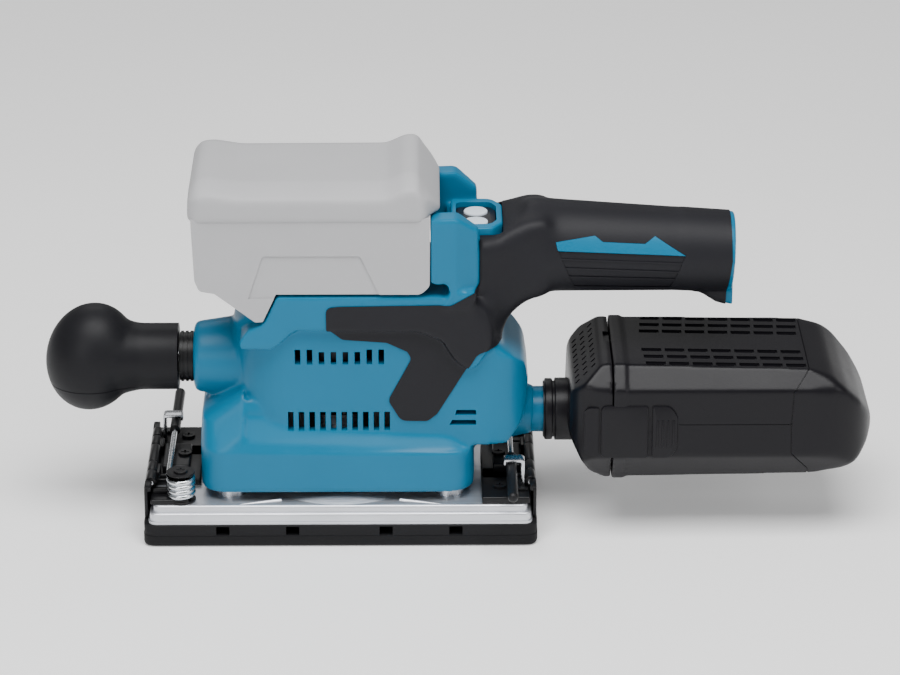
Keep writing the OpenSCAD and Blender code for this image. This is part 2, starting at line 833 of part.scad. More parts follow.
module battery_rails() {
    color([0.03, 0.45, 0.57]) for (s = [-1, 1]) scale([1, s, 1]) {
        box(-20, 40, rail_y - 6, rail_y - 3, deck_z, deck_z + 3);
        box(-20, 40, rail_y - 6, rail_y, deck_z + 3 - eps, deck_z + 5.5);
    }
}

module knob_stud() {
    color([0.7, 0.7, 0.72]) rod_x(-100, -50, stud_r, 0, boss_z);
}

module neck_collar() {
    color([0.1, 0.1, 0.11]) difference() {
        union() {
            rod_x(-75.8, -66, 11.4, 0, boss_z);
            for (i = [0:2]) rod_x(-75.2 + i * 2.2, -74 + i * 2.2, 12, 0, boss_z);
        }
        rod_x(-80, -60, stud_r, 0, boss_z);
    }
}

module front_knob() {
    ball_x = -118;
    ball_lean = 2.2;
    ball_rise = 9.2;
    color([0.15, 0.15, 0.17]) difference() {
        union() {
            // the ball is taller than it is long, and leans back
            translate([ball_x + ball_lean, 0, boss_z + ball_rise / 2]) sphere(ball_r);
            translate([ball_x, 0, boss_z - ball_rise / 2]) {
                sphere(ball_r);
                rotate([0, atan2(ball_lean, ball_rise), 0])
                    cylinder(h = norm([ball_lean, ball_rise]), r = ball_r);
            }
            translate([-108, 0, boss_z]) rotate([0, 90, 0])
                cylinder(h = 13, r1 = ball_r - 2, r2 = knob_skirt_r);
            rod_x(-95.1, -76.2, knob_skirt_r, 0, boss_z);
        }
        rod_x(-100.5, -70, stud_r + run, 0, boss_z);
    }
}

// ---- battery
module battery_outer(grow) {
    intersection() {
        slab([[-69 - grow, batt_split], [-68, 176], [-60, 176.6], [-48, 174.4], [22, 174.8],
            [32, 179.4], [37, 178.6], [44, 171], [batt_back + batt_lip, batt_split],
            [batt_back, batt_split - eps], [batt_back, batt_bottom + 4],
            [batt_back - 5, batt_bottom], [-28.6, batt_bottom], [-34.8, deck_z - 12.2],
            [-38.5, deck_z - 12.6], [-57, deck_z + 2], [-64, batt_bottom + 1.6],
            [-66, batt_bottom + 7], [batt_front, batt_split - eps]], -batt_w / 2, batt_w / 2);
        rounded_plan(-70, batt_back + batt_lip + 1, batt_w, 9, deck_z - 14, 190);
    }
}

module battery_cavity() {
    box(batt_front + 2.6, batt_back - 2.6, -batt_w / 2 + 3, batt_w / 2 - 3,
        batt_bottom + 10, 173);
}

module battery_lower_case() {
    color([0.75, 0.75, 0.76]) difference() {
        intersection() {
            battery_outer(0);
            box(-80, 80, -60, 60, 90, batt_split);
        }
        battery_cavity();
        // slots for the rails and the terminals, open to the rear
        for (s = [-1, 1]) scale([1, s, 1]) {
            box(-22, 60, rail_y - 6 - gap, rail_y - 3 + gap, deck_z, deck_z + 4);
            box(-22, 60, rail_y - 6 - gap, rail_y + gap, deck_z + 3 - gap, deck_z + 5.5 + gap);
        }
        box(9, 60, -17 - gap, 17 + gap, deck_z, deck_z + 9);
        // pocket for the release button
        box(-80, -57.4, -13, 13, 138, 154);
    }
}

module battery_upper_case() {
    color([0.76, 0.76, 0.77]) difference() {
        intersection() {
            battery_outer(0);
            box(-80, 80, -60, 60, batt_split, 200);
        }
        battery_cavity();
    }
}

module battery_cells() {
    pitch = 2 * cell_r + 0.8;
    z1 = batt_bottom + 10.4 + cell_r;
    color([0.2, 0.35, 0.6]) for (i = [0:4], k = [0, 1])
        rod_y(-cell_l / 2, cell_l / 2, cell_r, batt_back - 3.4 - cell_r - i * pitch,
            z1 + k * (2 * cell_r + 0.4));
}

module battery_board() {
    color([0.06, 0.3, 0.16]) difference() {
        box(-30, 36, -30, 30, 171, 172.6);
        rod_z(-26, 0, 1.5, 170, 174);
    }
}

module battery_button() {
    color([0.7, 0.7, 0.71]) difference() {
        union() {
            box(-68.4, -65.2, -12, 12, 144, 153);
            box(-65.4, -60, -12, 12, 142, 153);
        }
        for (i = [0:2]) box(-69, -67.9, -9, 9, 145.5 + i * 2.5, 146.7 + i * 2.5);
    }
}

// ---- dust box
module dust_spout() {
    color([0.04, 0.5, 0.62]) difference() {
        rod_x(spout_x0, spout_x1, spout_r, 0, spout_z);
        rod_x(spout_x0 - 1, spout_x1 + 1, spout_r - 2.2, 0, spout_z);
    }
}

// the box's section: half width, bottom, top, then width and height of each chamfer
function octagon(y, low, high, low_w, low_h, high_w, high_h) = [
    [-y, low + low_h], [-y + low_w, low], [y - low_w, low], [y, low + low_h],
    [y, high - high_h], [y - high_w, high], [-y + high_w, high], [-y, high - high_h]
];

module octagon_bar(points, x0, x1) {
    translate([x0, 0, 0]) rotate([90, 0, 90]) linear_extrude(x1 - x0) polygon(points);
}

module dust_case_front() {
    outer = octagon(box_y - 1, box_low, box_high, 12, 16, 9, 10);
    color([0.13, 0.13, 0.14]) translate([back_shift, 0, 0]) difference() {
        union() {
            intersection() {
                octagon_bar(outer, case_x0 - 1.2, seam_x);
                slab([[case_x0 - 1.2, 47], [115, 33], [123, 27], [seam_x + 1, box_low - 1],
                    [seam_x + 1, box_high + 1], [121.4, box_high - 0.4], [108.6, 76]], -60, 60);
                rounded_plan(case_x0 - 1.2, 160, 2 * box_y - 2, 9, 0, 120);
            }
            rod_x(collar_x0, case_x0, collar_r, 0, spout_z);
        }
        octagon_bar(octagon(box_y - 3 - box_wall, box_low + 4, box_high - 3, 11, 15, 8, 9),
            121.5, seam_x + 1);
        rod_x(collar_x0 - 1, seam_x, spout_r + run, 0, spout_z);
        latch_recess();
    }
}

module dust_case_rear() {
    color([0.15, 0.15, 0.17]) translate([back_shift, 0, 0]) difference() {
        intersection() {
            octagon_bar(octagon(box_y, box_low, box_high, 12, 16, 9, 10), seam_x + gap, box_end);
            slab([[seam_x - 1, box_low], [133, 26.2], [224, 29], [236, 32], [243, 36.8],
                [248, 43.5], [box_end, 51.5], [248.6, 58.5], [243.4, 66.5], [236.3, 74.3],
                [229, 80.6], [219, 83.7], [seam_x - 1, box_high + 0.4]], -60, 60);
            rounded_plan(60, box_end, 2 * box_y, 24, 0, 120);
        }
        octagon_bar(octagon(box_y - box_wall - 1.4, 33, 80, 9, 12, 8, 9), seam_x - 1, 226);
        latch_recess();
        // screens in the roof, over the filter
        for (i = [0:9]) box(146 + i * 7, 150 + i * 7, -22, 22, 79, 90);
    }
}

module filter_bag() {
    inset = box_y - box_wall - 6;
    color([0.85, 0.83, 0.78]) translate([back_shift, 0, 0]) difference() {
        octagon_bar(octagon(inset, 36, 77, 9, 12, 8, 9), seam_x + 5, 222);
        octagon_bar(octagon(inset - 2, 38, 75, 9, 12, 8, 9), seam_x + 4, 220);
    }
}

module dust_latch() {
    // the root is rolled, so that the latch turns in the case's recess
    rod_z(latch_x0 + 1, box_y - latch_t / 2, latch_t / 2, latch_z0 + gap, latch_z1 - gap);
    box(latch_x0 + 1, latch_x1, box_y - latch_t, box_y, latch_z0 + gap, latch_z1 - gap);
    for (i = [0:3])
        box(145 + i * 3, 146.4 + i * 3, box_y - eps, box_y + 0.6, latch_z0 + 3, latch_z1 - 3);
}

module dust_latch_left() {
    color([0.12, 0.12, 0.13]) translate([back_shift, 0, 0]) mirror([0, 1, 0]) dust_latch();
}

module dust_latch_right() {
    color([0.12, 0.12, 0.13]) translate([back_shift, 0, 0]) dust_latch();
}

module latch_recess() {
    for (s = [0, 1]) mirror([0, s, 0])
        box(latch_x0 - 1, latch_x1 + 1.5, box_y - latch_t - gap, box_y + 9, latch_z0, latch_z1);
}

pad_foam();
pad_backing();
base_plate();
leg_cups();
bearing_retainer();
pad_bearing();
retainer_screws();
front_holder();
rear_holder();
front_hook();
rear_hook();
holder_screws();
coil_posts();
hinge_pins();
front_jaw();
rear_jaw();
front_lever();
rear_lever();
front_lever_sleeve();
rear_lever_sleeve();
housing_left();
housing_right();
grip_left();
grip_right();
end_cap();
panel_bezel();
panel_face();
power_button();
speed_button();
switch_board();
controller();
terminal_block();
terminals();
battery_rails();
stator_core();
windings();
upper_bearing();
lower_bearing();
motor_seat();
rubber_legs();
housing_screws();
knob_stud();
neck_collar();
front_knob();
dust_spout();
motor_shaft();
rotor_core();
magnets();
cooling_fan();
counterweight();
battery_lower_case();
battery_upper_case();
battery_cells();
battery_board();
battery_button();
dust_case_front();
filter_bag();
dust_case_rear();
dust_latch_left();
dust_latch_right();
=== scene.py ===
# Cordless clamp sander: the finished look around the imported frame, in metres.
import math

import bpy
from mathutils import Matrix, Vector


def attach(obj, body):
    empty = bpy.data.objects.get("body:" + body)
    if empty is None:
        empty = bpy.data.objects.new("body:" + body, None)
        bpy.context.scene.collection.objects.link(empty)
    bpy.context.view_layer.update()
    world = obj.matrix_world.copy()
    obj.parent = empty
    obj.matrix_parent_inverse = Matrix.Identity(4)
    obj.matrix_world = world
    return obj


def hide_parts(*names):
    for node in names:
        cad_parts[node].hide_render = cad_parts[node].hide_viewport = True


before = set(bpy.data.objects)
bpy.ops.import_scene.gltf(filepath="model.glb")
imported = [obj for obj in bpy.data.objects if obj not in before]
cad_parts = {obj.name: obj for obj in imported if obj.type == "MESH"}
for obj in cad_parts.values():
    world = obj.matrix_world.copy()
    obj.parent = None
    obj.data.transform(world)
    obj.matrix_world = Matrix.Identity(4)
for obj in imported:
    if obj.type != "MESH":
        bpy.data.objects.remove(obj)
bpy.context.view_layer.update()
mm = 0.001


# ---------- working helpers
def deselectAll():
    active = bpy.context.view_layer.objects.active
    if active and active.mode != "OBJECT":
        bpy.ops.object.mode_set(mode="OBJECT")
    bpy.ops.object.select_all(action="DESELECT")


def pick(piece):
    deselectAll()
    piece.select_set(True)
    bpy.context.view_layer.objects.active = piece
    return piece


def place(piece):
    pick(piece)
    bpy.ops.object.transform_apply(location=True, rotation=True, scale=True)
    return piece


def applyAll(piece):
    pick(piece)
    for modifier in list(piece.modifiers):
        bpy.ops.object.modifier_apply(modifier=modifier.name)
    return piece


def editEdges(piece, test, action):
    # selects the edges whose two ends pass the test, then runs the action in edit mode
    pick(piece)
    for polygon in piece.data.polygons:
        polygon.select = False
    for vertex in piece.data.vertices:
        vertex.select = False
    for edge in piece.data.edges:
        a, b = (piece.data.vertices[i].co / mm for i in edge.vertices)
        edge.select = test(a, b)
    bpy.ops.object.mode_set(mode="EDIT")
    bpy.ops.mesh.select_mode(type="EDGE")
    action()
    bpy.ops.object.mode_set(mode="OBJECT")
    return piece


def editFaces(piece, test, action):
    pick(piece)
    for vertex in piece.data.vertices:
        vertex.select = False
    for edge in piece.data.edges:
        edge.select = False
    for polygon in piece.data.polygons:
        polygon.select = test(polygon.center / mm, polygon.normal)
    bpy.ops.object.mode_set(mode="EDIT")
    bpy.ops.mesh.select_mode(type="FACE")
    action()
    bpy.ops.object.mode_set(mode="OBJECT")
    return piece


def cleanNormals(piece):
    pick(piece)
    bpy.ops.object.mode_set(mode="EDIT")
    bpy.ops.mesh.select_all(action="SELECT")
    bpy.ops.mesh.remove_doubles(threshold=0.00001)
    bpy.ops.mesh.normals_make_consistent(inside=False)
    bpy.ops.object.mode_set(mode="OBJECT")
    return piece


def bevelEdges(piece, width, steps=3, test=lambda a, b: True):
    return editEdges(piece, test, lambda: bpy.ops.mesh.bevel(
        offset=width * mm, offset_type="OFFSET", segments=steps, affect="EDGES", clamp_overlap=True))


def bevelSharp(piece, width, steps=3, angle=30):
    modifier = piece.modifiers.new("edge", "BEVEL")
    modifier.width = width * mm
    modifier.segments = steps
    modifier.limit_method = "ANGLE"
    modifier.angle_limit = math.radians(angle)
    modifier.use_clamp_overlap = True
    return applyAll(piece)


def addBlock(x0, x1, y0, y1, z0, z1, edge=0.0, steps=3):
    bpy.ops.mesh.primitive_cube_add(
        size=1, location=((x0 + x1) / 2 * mm, (y0 + y1) / 2 * mm, (z0 + z1) / 2 * mm))
    piece = bpy.context.object
    piece.scale = ((x1 - x0) * mm, (y1 - y0) * mm, (z1 - z0) * mm)
    place(piece)
    if edge:
        bevelEdges(piece, edge, steps)
    return piece


def addRod(start, end, radius, endRadius=None, sides=64, edge=0.0):
    # a round bar or cone between two points given in millimetres
    a, b = Vector(start) * mm, Vector(end) * mm
    run = b - a
    bpy.ops.mesh.primitive_cone_add(
        vertices=sides, radius1=radius * mm,
        radius2=(radius if endRadius is None else endRadius) * mm,
        depth=run.length, location=(a + b) / 2, rotation=run.to_track_quat("Z", "Y").to_euler())
    piece = place(bpy.context.object)
    if edge:
        bevelSharp(piece, edge, 4, 50)
    return piece


def addBall(centre, radius, stretch=(1, 1, 1), rings=48):
    bpy.ops.mesh.primitive_uv_sphere_add(
        segments=rings, ring_count=rings // 2, radius=radius * mm,
        location=Vector(centre) * mm)
    piece = bpy.context.object
    piece.scale = stretch
    return place(piece)


def roundCorners(corners, steps=5):
    # corners are (u, v) or (u, v, radius): each radius becomes an arc
    points = []
    for i, corner in enumerate(corners):
        here = Vector(corner[:2])
        radius = corner[2] if len(corner) > 2 else 0
        if not radius:
            points.append(here)
            continue
        back = (Vector(corners[i - 1][:2]) - here)
        ahead = (Vector(corners[(i + 1) % len(corners)][:2]) - here)
        reach = min(back.length, ahead.length) * 0.49
        half = back.angle(ahead) / 2
        cut = min(radius / math.tan(half), reach)
        start = here + back.normalized() * cut
        end = here + ahead.normalized() * cut
        for k in range(steps + 1):
            t = k / steps
            points.append((start * (1 - t) + here * t) * (1 - t) + (here * (1 - t) + end * t) * t)
    return points


def addOutline(corners, low, high, across="Y", steps=5):
    # a closed outline pushed out across Y (outline in X, Z), Z (in X, Y) or X (in Y, Z)
    points = roundCorners(corners, steps)
    bpy.ops.mesh.primitive_circle_add(vertices=len(points), radius=0.01, fill_type="NGON")
    piece = bpy.context.object
    for vertex, point in zip(piece.data.vertices, points):
        u, v = point * mm
        vertex.co = {"Y": (u, low * mm, v), "Z": (u, v, low * mm), "X": (low * mm, u, v)}[across]
    push = {"Y": (0, 1, 0), "Z": (0, 0, 1), "X": (1, 0, 0)}[across]
    push = tuple(p * (high - low) * mm for p in push)
    editFaces(piece, lambda centre, normal: True, lambda: bpy.ops.mesh.extrude_region_move(
        TRANSFORM_OT_translate={"value": push}))
    return cleanNormals(piece)


def joinPieces(pieces):
    deselectAll()
    for piece in pieces:
        piece.select_set(True)
    bpy.context.view_layer.objects.active = pieces[0]
    if len(pieces) > 1:
        bpy.ops.object.join()
    return pieces[0]


def meld(pieces, voxel, rounds, factor=0.5):
    # overlapping forms become one skin, and smoothing rolls a fillet along each edge
    piece = joinPieces(pieces)
    skin = piece.modifiers.new("skin", "REMESH")
    skin.mode = "VOXEL"
    skin.voxel_size = voxel * mm
    if rounds:
        soften = piece.modifiers.new("soften", "SMOOTH")
        soften.factor = factor
        soften.iterations = rounds
    return applyAll(piece)


def combine(piece, tool, how, keepTool=False, solver="MANIFOLD"):
    modifier = piece.modifiers.new(how.lower(), "BOOLEAN")
    modifier.operation = how
    modifier.solver = solver
    modifier.object = tool
    applyAll(piece)
    if not keepTool:
        bpy.data.objects.remove(tool)
    return piece


def carve(piece, tool, keepTool=False, solver="MANIFOLD"):
    return combine(piece, tool, "DIFFERENCE", keepTool, solver)


def copyOf(piece):
    twin = piece.copy()
    twin.data = piece.data.copy()
    bpy.context.scene.collection.objects.link(twin)
    return twin


def swell(piece, amount):
    # moves every point along its own normal
    modifier = piece.modifiers.new("swell", "DISPLACE")
    modifier.strength = amount * mm
    modifier.mid_level = 0
    return applyAll(piece)


def halfTurn(piece):
    # the same piece at the other end of the pad
    piece.rotation_euler = (0, 0, math.pi)
    return place(piece)


def finishPiece(piece, name, body, paint, replaced=(), angle=32):
    piece.name = name
    piece.data.name = name
    pick(piece)
    bpy.ops.object.shade_smooth_by_angle(angle=math.radians(angle))
    piece.data.materials.clear()
    piece.data.materials.append(paint)
    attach(piece, body)
    if replaced:
        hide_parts(*replaced)
    return piece


# ---------- shader maths
class Wire:
    def __init__(self, paint, socket):
        self.paint = paint
        self.socket = socket

    def do(self, how, first, second):
        return self.paint.node("ShaderNodeMath", {"operation": how}, {0: first, 1: second})

    def __add__(self, other):
        return self.do("ADD", self, other)

    def __mul__(self, other):
        return self.do("MULTIPLY", self, other)

    def __sub__(self, other):
        return self.do("SUBTRACT", self, other)

    def __rsub__(self, other):
        return self.do("SUBTRACT", other, self)

    __radd__ = __add__
    __rmul__ = __mul__


class Paint:
    def __init__(self, name, **constants):
        self.material = bpy.data.materials.new(name)
        self.material.use_nodes = True
        self.tree = self.material.node_tree
        self.shader = self.tree.nodes["Principled BSDF"]
        for key, value in constants.items():
            self.shader.inputs[key.replace("_", " ")].default_value = value

    def node(self, kind, settings=None, sockets=None, out=0):
        made = self.tree.nodes.new(kind)
        for key, value in (settings or {}).items():
            if key == "stops":
                for element, (spot, shade) in zip(made.color_ramp.elements, value):
                    element.position = spot
                    element.color = shade
            else:
                setattr(made, key, value)
        for key, value in (sockets or {}).items():
            if isinstance(value, Wire):
                self.tree.links.new(value.socket, made.inputs[key])
            else:
                made.inputs[key].default_value = value
        return Wire(self, made.outputs[out])

    def feed(self, **links):
        for key, wire in links.items():
            self.tree.links.new(wire.socket, self.shader.inputs[key.replace("_", " ")])
        return self

    def coordinates(self, stretch=(1, 1, 1)):
        spot = self.node("ShaderNodeTexCoord", out=3)
        return self.node("ShaderNodeMapping", {}, {"Vector": spot, "Scale": stretch})

    def noise(self, scale, detail=2.0, stretch=(1, 1, 1), rough=0.5):
        return self.node("ShaderNodeTexNoise", {}, {
            "Vector": self.coordinates(stretch), "Scale": scale, "Detail": detail,
            "Roughness": rough})

    def ramp(self, value, low, high):
        return self.node("ShaderNodeMapRange", {"clamp": True}, {
            "Value": value, "From Min": 0.3, "From Max": 0.7, "To Min": low, "To Max": high})

    def tint(self, amount, first, second):
        return self.node("ShaderNodeMix", {"data_type": "RGBA"}, {
            0: amount, 6: (*first, 1), 7: (*second, 1)}, out=2)

    def bump(self, height, strength, depth):
        return self.node("ShaderNodeBump", {}, {
            "Height": height, "Strength": strength, "Distance": depth * mm})


def linear(red, green, blue):
    def channel(value):
        value /= 255
        return value / 12.92 if value <= 0.04045 else ((value + 0.055) / 1.055) ** 2.4
    return channel(red), channel(green), channel(blue)


def shade(colour, factor):
    return tuple(min(1, c * factor) for c in colour)


def mouldedPaint(name, colour, rough, grain=1400, bumpy=0.12, depth=0.06, vary=0.08, **constants):
    # moulded plastic or rubber: spark-eroded grain, slow change of tone and gloss
    paint = Paint(name, **{"Specular_IOR_Level": 0.24, **constants})
    fine = paint.noise(grain, 2)
    slow = paint.noise(28, 3)
    tone = paint.ramp(slow, 0.0, 1.0)
    paint.feed(
        Base_Color=paint.tint(tone, shade(colour, 1 - vary), shade(colour, 1 + vary)),
        Roughness=paint.ramp(slow * 0.5 + fine * 0.5, rough - 0.05, rough + 0.06),
        Normal=paint.bump(fine, bumpy, depth))
    return paint.material


def metalPaint(name, colour, rough, stretch=(1, 1, 1), grain=900, bumpy=0.06, **constants):
    # bare metal with a drawn or tumbled surface
    paint = Paint(name, Metallic=1.0, **constants)
    lines = paint.noise(grain, 3, stretch)
    slow = paint.noise(35, 2)
    paint.feed(
        Base_Color=paint.tint(paint.ramp(slow, 0, 1), shade(colour, 0.9), colour),
        Roughness=paint.ramp(lines, rough - 0.07, rough + 0.09),
        Normal=paint.bump(lines, bumpy, 0.03))
    return paint.material


teal = linear(0, 102, 137)
paints = {
    "teal": mouldedPaint("tealHousing", teal, 0.36, 1700, 0.06, 0.04, 0.03),
    "grip": mouldedPaint("gripRubber", linear(20, 20, 25), 0.55, 1500, 0.35, 0.09, 0.1),
    "knob": mouldedPaint("knobRubber", linear(22, 22, 25), 0.46, 1500, 0.1, 0.05, 0.06,
                         Specular_IOR_Level=0.16),
    "battery": mouldedPaint("batteryShell", linear(168, 168, 170), 0.5, 1500, 0.1, 0.05, 0.02),
    "dust": mouldedPaint("dustBoxShell", linear(16, 15, 19), 0.36, 1300, 0.22, 0.06, 0.06,
                         Specular_IOR_Level=0.2),
    "blackPlastic": mouldedPaint("blackPlastic", linear(14, 14, 16), 0.36, 1500, 0.1, 0.05),
    "pad": mouldedPaint("padFoam", linear(12, 12, 15), 0.7, 2200, 0.5, 0.12, 0.12),
    "backing": mouldedPaint("padBacking", linear(14, 14, 17), 0.64, 800, 0.55, 0.15, 0.12),
    "aluminium": metalPaint("baseAluminium", linear(222, 224, 229), 0.46, (0.02, 1, 1), 2600),
    "steel": metalPaint("brightSteel", linear(205, 207, 211), 0.24, (1, 1, 0.1), 1500),
    "zinc": metalPaint("zincWire", linear(214, 218, 222), 0.2, (1, 1, 1), 700, 0.04),
    "blackMetal": mouldedPaint("blackMetal", linear(17, 17, 19), 0.33, 900, 0.12, 0.05),
    "vinyl": mouldedPaint("blackVinyl", linear(20, 20, 22), 0.42, 900, 0.08, 0.04),
    "rubber": mouldedPaint("legRubber", linear(24, 24, 26), 0.65, 1200, 0.2, 0.06),
    "panel": mouldedPaint("panelFace", linear(24, 24, 29), 0.3, 1500, 0.05, 0.03),
    "button": mouldedPaint("buttonCap", linear(208, 216, 226), 0.42, 1200, 0.05, 0.03, 0.02),
}
print("paints ready")

# ---------- camera, floor and light
view = {"target": (51.68, 0, 86.67), "distance": 1850, "drop": 22.3, "yaw": 0.44, "lens": 156.8}


def setCamera():
    drop, yaw = math.radians(view["drop"]), math.radians(view["yaw"])
    look = Vector((math.sin(yaw) * math.cos(drop), math.cos(yaw) * math.cos(drop),
                   -math.sin(drop)))
    spot = (Vector(view["target"]) - look * view["distance"]) * mm
    bpy.ops.object.camera_add(location=spot, rotation=look.to_track_quat("-Z", "Y").to_euler())
    camera = bpy.context.object
    camera.name = "camera"
    camera.data.lens = view["lens"]
    camera.data.sensor_width = 36
    bpy.context.scene.camera = camera


def addFloor():
    bpy.ops.mesh.primitive_plane_add(size=12, location=(0, 0, -0.0002))
    floor = bpy.context.object
    floor.name = "floor"
    paint = Paint("paleFloor", Roughness=0.75, Emission_Color=(1, 1, 1, 1), Emission_Strength=0.16)
    paint.feed(Base_Color=paint.tint(
        paint.ramp(paint.noise(3, 2), 0, 1), (0.9, 0.9, 0.9), (0.93, 0.93, 0.93)))
    floor.data.materials.append(paint.material)


def addLight(name, spot, aim, size, power, sizeY=None):
    bpy.ops.object.light_add(type="AREA", location=spot)
    lamp = bpy.context.object
    lamp.name = name
    lamp.data.energy = power
    lamp.data.size = size
    if sizeY:
        lamp.data.shape = "RECTANGLE"
        lamp.data.size_y = sizeY
    run = Vector(aim) - Vector(spot)
    lamp.rotation_euler = run.to_track_quat("-Z", "Y").to_euler()


setCamera()
addFloor()
addLight("overhead", (0.05, -0.45, 1.35), (0.05, 0, 0.05), 1.3, 32, 0.8)
addLight("frontSoft", (-0.9, -1.7, 0.8), (0.05, 0, 0.08), 0.8, 10)
addLight("rightSoft", (1.5, -0.9, 0.9), (0.1, 0, 0.08), 0.7, 6)
addLight("backSoft", (-0.2, 1.4, 1.3), (0.05, 0, 0.1), 1.0, 4)
world = bpy.data.worlds.new("studio")
bpy.context.scene.world = world
world.use_nodes = True
world.node_tree.nodes["Background"].inputs["Color"].default_value = (1, 1, 1, 1)
world.node_tree.nodes["Background"].inputs["Strength"].default_value = 0.24
print("stage ready")

# ---------- housing and grip
housing = {
    "skin": 1.0,            # voxel of the outer form
    "rounds": 7,            # smoothing, which sets the fillets
    "neckRounds": 110,      # more of it where the neck runs into the handle
    "skirt": (-65.6, 62.8, 38.5), "skirtTop": 44,
    "gripProud": 0.55, "gripDepth": 1.0,
}
barrelSide = [(-50, 46), (-50, 100, 3), (-47, 104), (-40, 112), (56, 112), (62, 101), (72, 96), (79, 90, 6), (86.5, 83, 8),
              (88.3, 72, 8), (87, 60, 8), (84, 52, 6), (78, 45)]
deckSide = [(-46, 95.6, 1.5), (-31, 95.2, 4), (-20, 104.8, 4), (36, 104.8, 8), (48, 100, 8),
            (54, 90, 5), (62, 84, 5), (72, 98, 8), (70, 112, 8), (62, 119.6), (47, 121.7), (-28.3, 121.7, 1), (-34.6, 108.4, 2.5), (-42, 104.8, 3), (-46, 99.5, 2)]
guardSide = [(42.5, 128.4, 1), (42.5, 159.6, 1.5), (54.6, 160, 2), (64.6, 152.6, 2), (64.9, 128),
             (62, 116), (48, 116), (51.2, 123.4, 2), (50.4, 128.2, 2.5), (45.5, 127.8, 1)]
neckSide = [(50, 100), (50, 145), (74, 145.6, 6), (81, 149.8, 8), (88, 152.6, 6), (98, 152.8),
            (98, 114.6), (88, 113, 6), (78.5, 106, 8), (75, 96, 8),
            (74, 84), (60, 84)]
gripSide = [(-5.8, 105, 2), (-5.8, 116.2, 3), (0, 116.9, 1), (51.8, 117.6, 5), (65.2, 125.4, 3),
            (65.2, 170), (181.9, 170), (182.6, 132), (181, 117), (180, 88),
            (80, 94.6), (74.5, 95.4), (64.3, 93.2, 5), (45.4, 61.6, 6), (41, 58, 4),
            (28.6, 58.2, 5), (22.6, 68.5, 4), (33.6, 89.5, 4), (31.6, 93, 2), (22, 97.6, 3),
            (1.5, 99.1, 4)]
inlaySide = [(100.5, 142.2), (118.6, 144.5, 1), (122.3, 141.8, 1), (141.8, 140.6, 1),
             (146.5, 143.7), (160.6, 135), (101.4, 138.3, 1)]
ribPanel = [(101.3, 139), (160.8, 135.4), (154.2, 117.4), (109.2, 118.8)]
ribLines = [((102.6, 134.5), (160.4, 130.8)), ((104.2, 129.9), (158.8, 126.4)),
            ((105.8, 125.2), (157.4, 122.4))]


def skirtForm():
    x0, x1, y = housing["skirt"]
    plan = [(x0, -y, 15), (x1, -y, 15), (x1, y, 15), (x0, y, 15)]
    piece = addOutline(plan, 24, housing["skirtTop"], "Z", 8)
    # the slope leans in at the sides; at the front it is taller, and climbs back to the boss
    for lean, backward, rise, extraRise in ((0.81, 0.6, 9.4, 4), (0.96, 19, 0.4, 13)):
        low = max(vertex.co.z for vertex in piece.data.vertices)
        editFaces(piece, lambda centre, normal: normal.z > 0.5 and centre.z > 40,
                  lambda: bpy.ops.mesh.extrude_region_move(
                      TRANSFORM_OT_translate={"value": (0, 0, 30 * mm)}))
        for vertex in piece.data.vertices:
            if vertex.co.z > low + 10 * mm:
                x = vertex.co.x / mm
                front = min(1, max(0, (-44 - x) / 20))
                vertex.co.x = (x * 0.97 if x > 0 else x + backward * front) * mm
                vertex.co.y *= lean
                vertex.co.z += (rise + extraRise * front - 30) * mm
    return piece


def barrelForm():
    piece = addOutline(barrelSide, -32.4, 32.4)
    plan = addOutline([(-50, -32.4, 30), (89, -32.4, 24), (89, 32.4, 24), (-50, 32.4, 30)],
                      40, 110, "Z", 10)
    return combine(piece, plan, "INTERSECT", solver="EXACT")


def guardForm(side):
    near, far = sorted((side * 25.5, side * 37.3))
    piece = addOutline(guardSide, near, far)
    # the outer face turns in behind the battery's corner
    wedge = addOutline([(54, 44), (54, 37.3), (66, 30.5), (72, 30.5), (72, 44)], 124, 170, "Z")
    if side < 0:
        wedge.scale = (1, -1, 1)
        place(wedge)
        cleanNormals(wedge)
    piece = carve(piece, wedge, solver="EXACT")
    bevelEdges(piece, 4.6, 1, lambda a, b: abs(a.y - b.y) < 0.1 and abs(a.y) > 37 and
               min(a.z, b.z) > 151)
    return piece


def deckForm():
    piece = addOutline(deckSide, -36.2, 36.2)
    # the overhang leans back into the barrel
    bevelEdges(piece, 3.4, 1, lambda a, b: abs(a.y - b.y) < 0.1 and max(a.z, b.z) < 113 and
               min(a.x, b.x) > -21)
    return piece


def neckForm():
    piece = addOutline(neckSide, -29.5, 29.5)
    bevelEdges(piece, 14.5, 6, lambda a, b: abs(a.y - b.y) < 1 and min(a.x, b.x) > 49 and
               max(a.z, b.z) > 90)
    piece = meld([piece], 1.5, 0)
    # it narrows from the guards back to the handle
    for vertex in piece.data.vertices:
        reach = min(1, max(0, (vertex.co.x / mm - 62) / 30))
        vertex.co.y *= 1 - 0.28 * reach * reach * (3 - 2 * reach)
    return piece


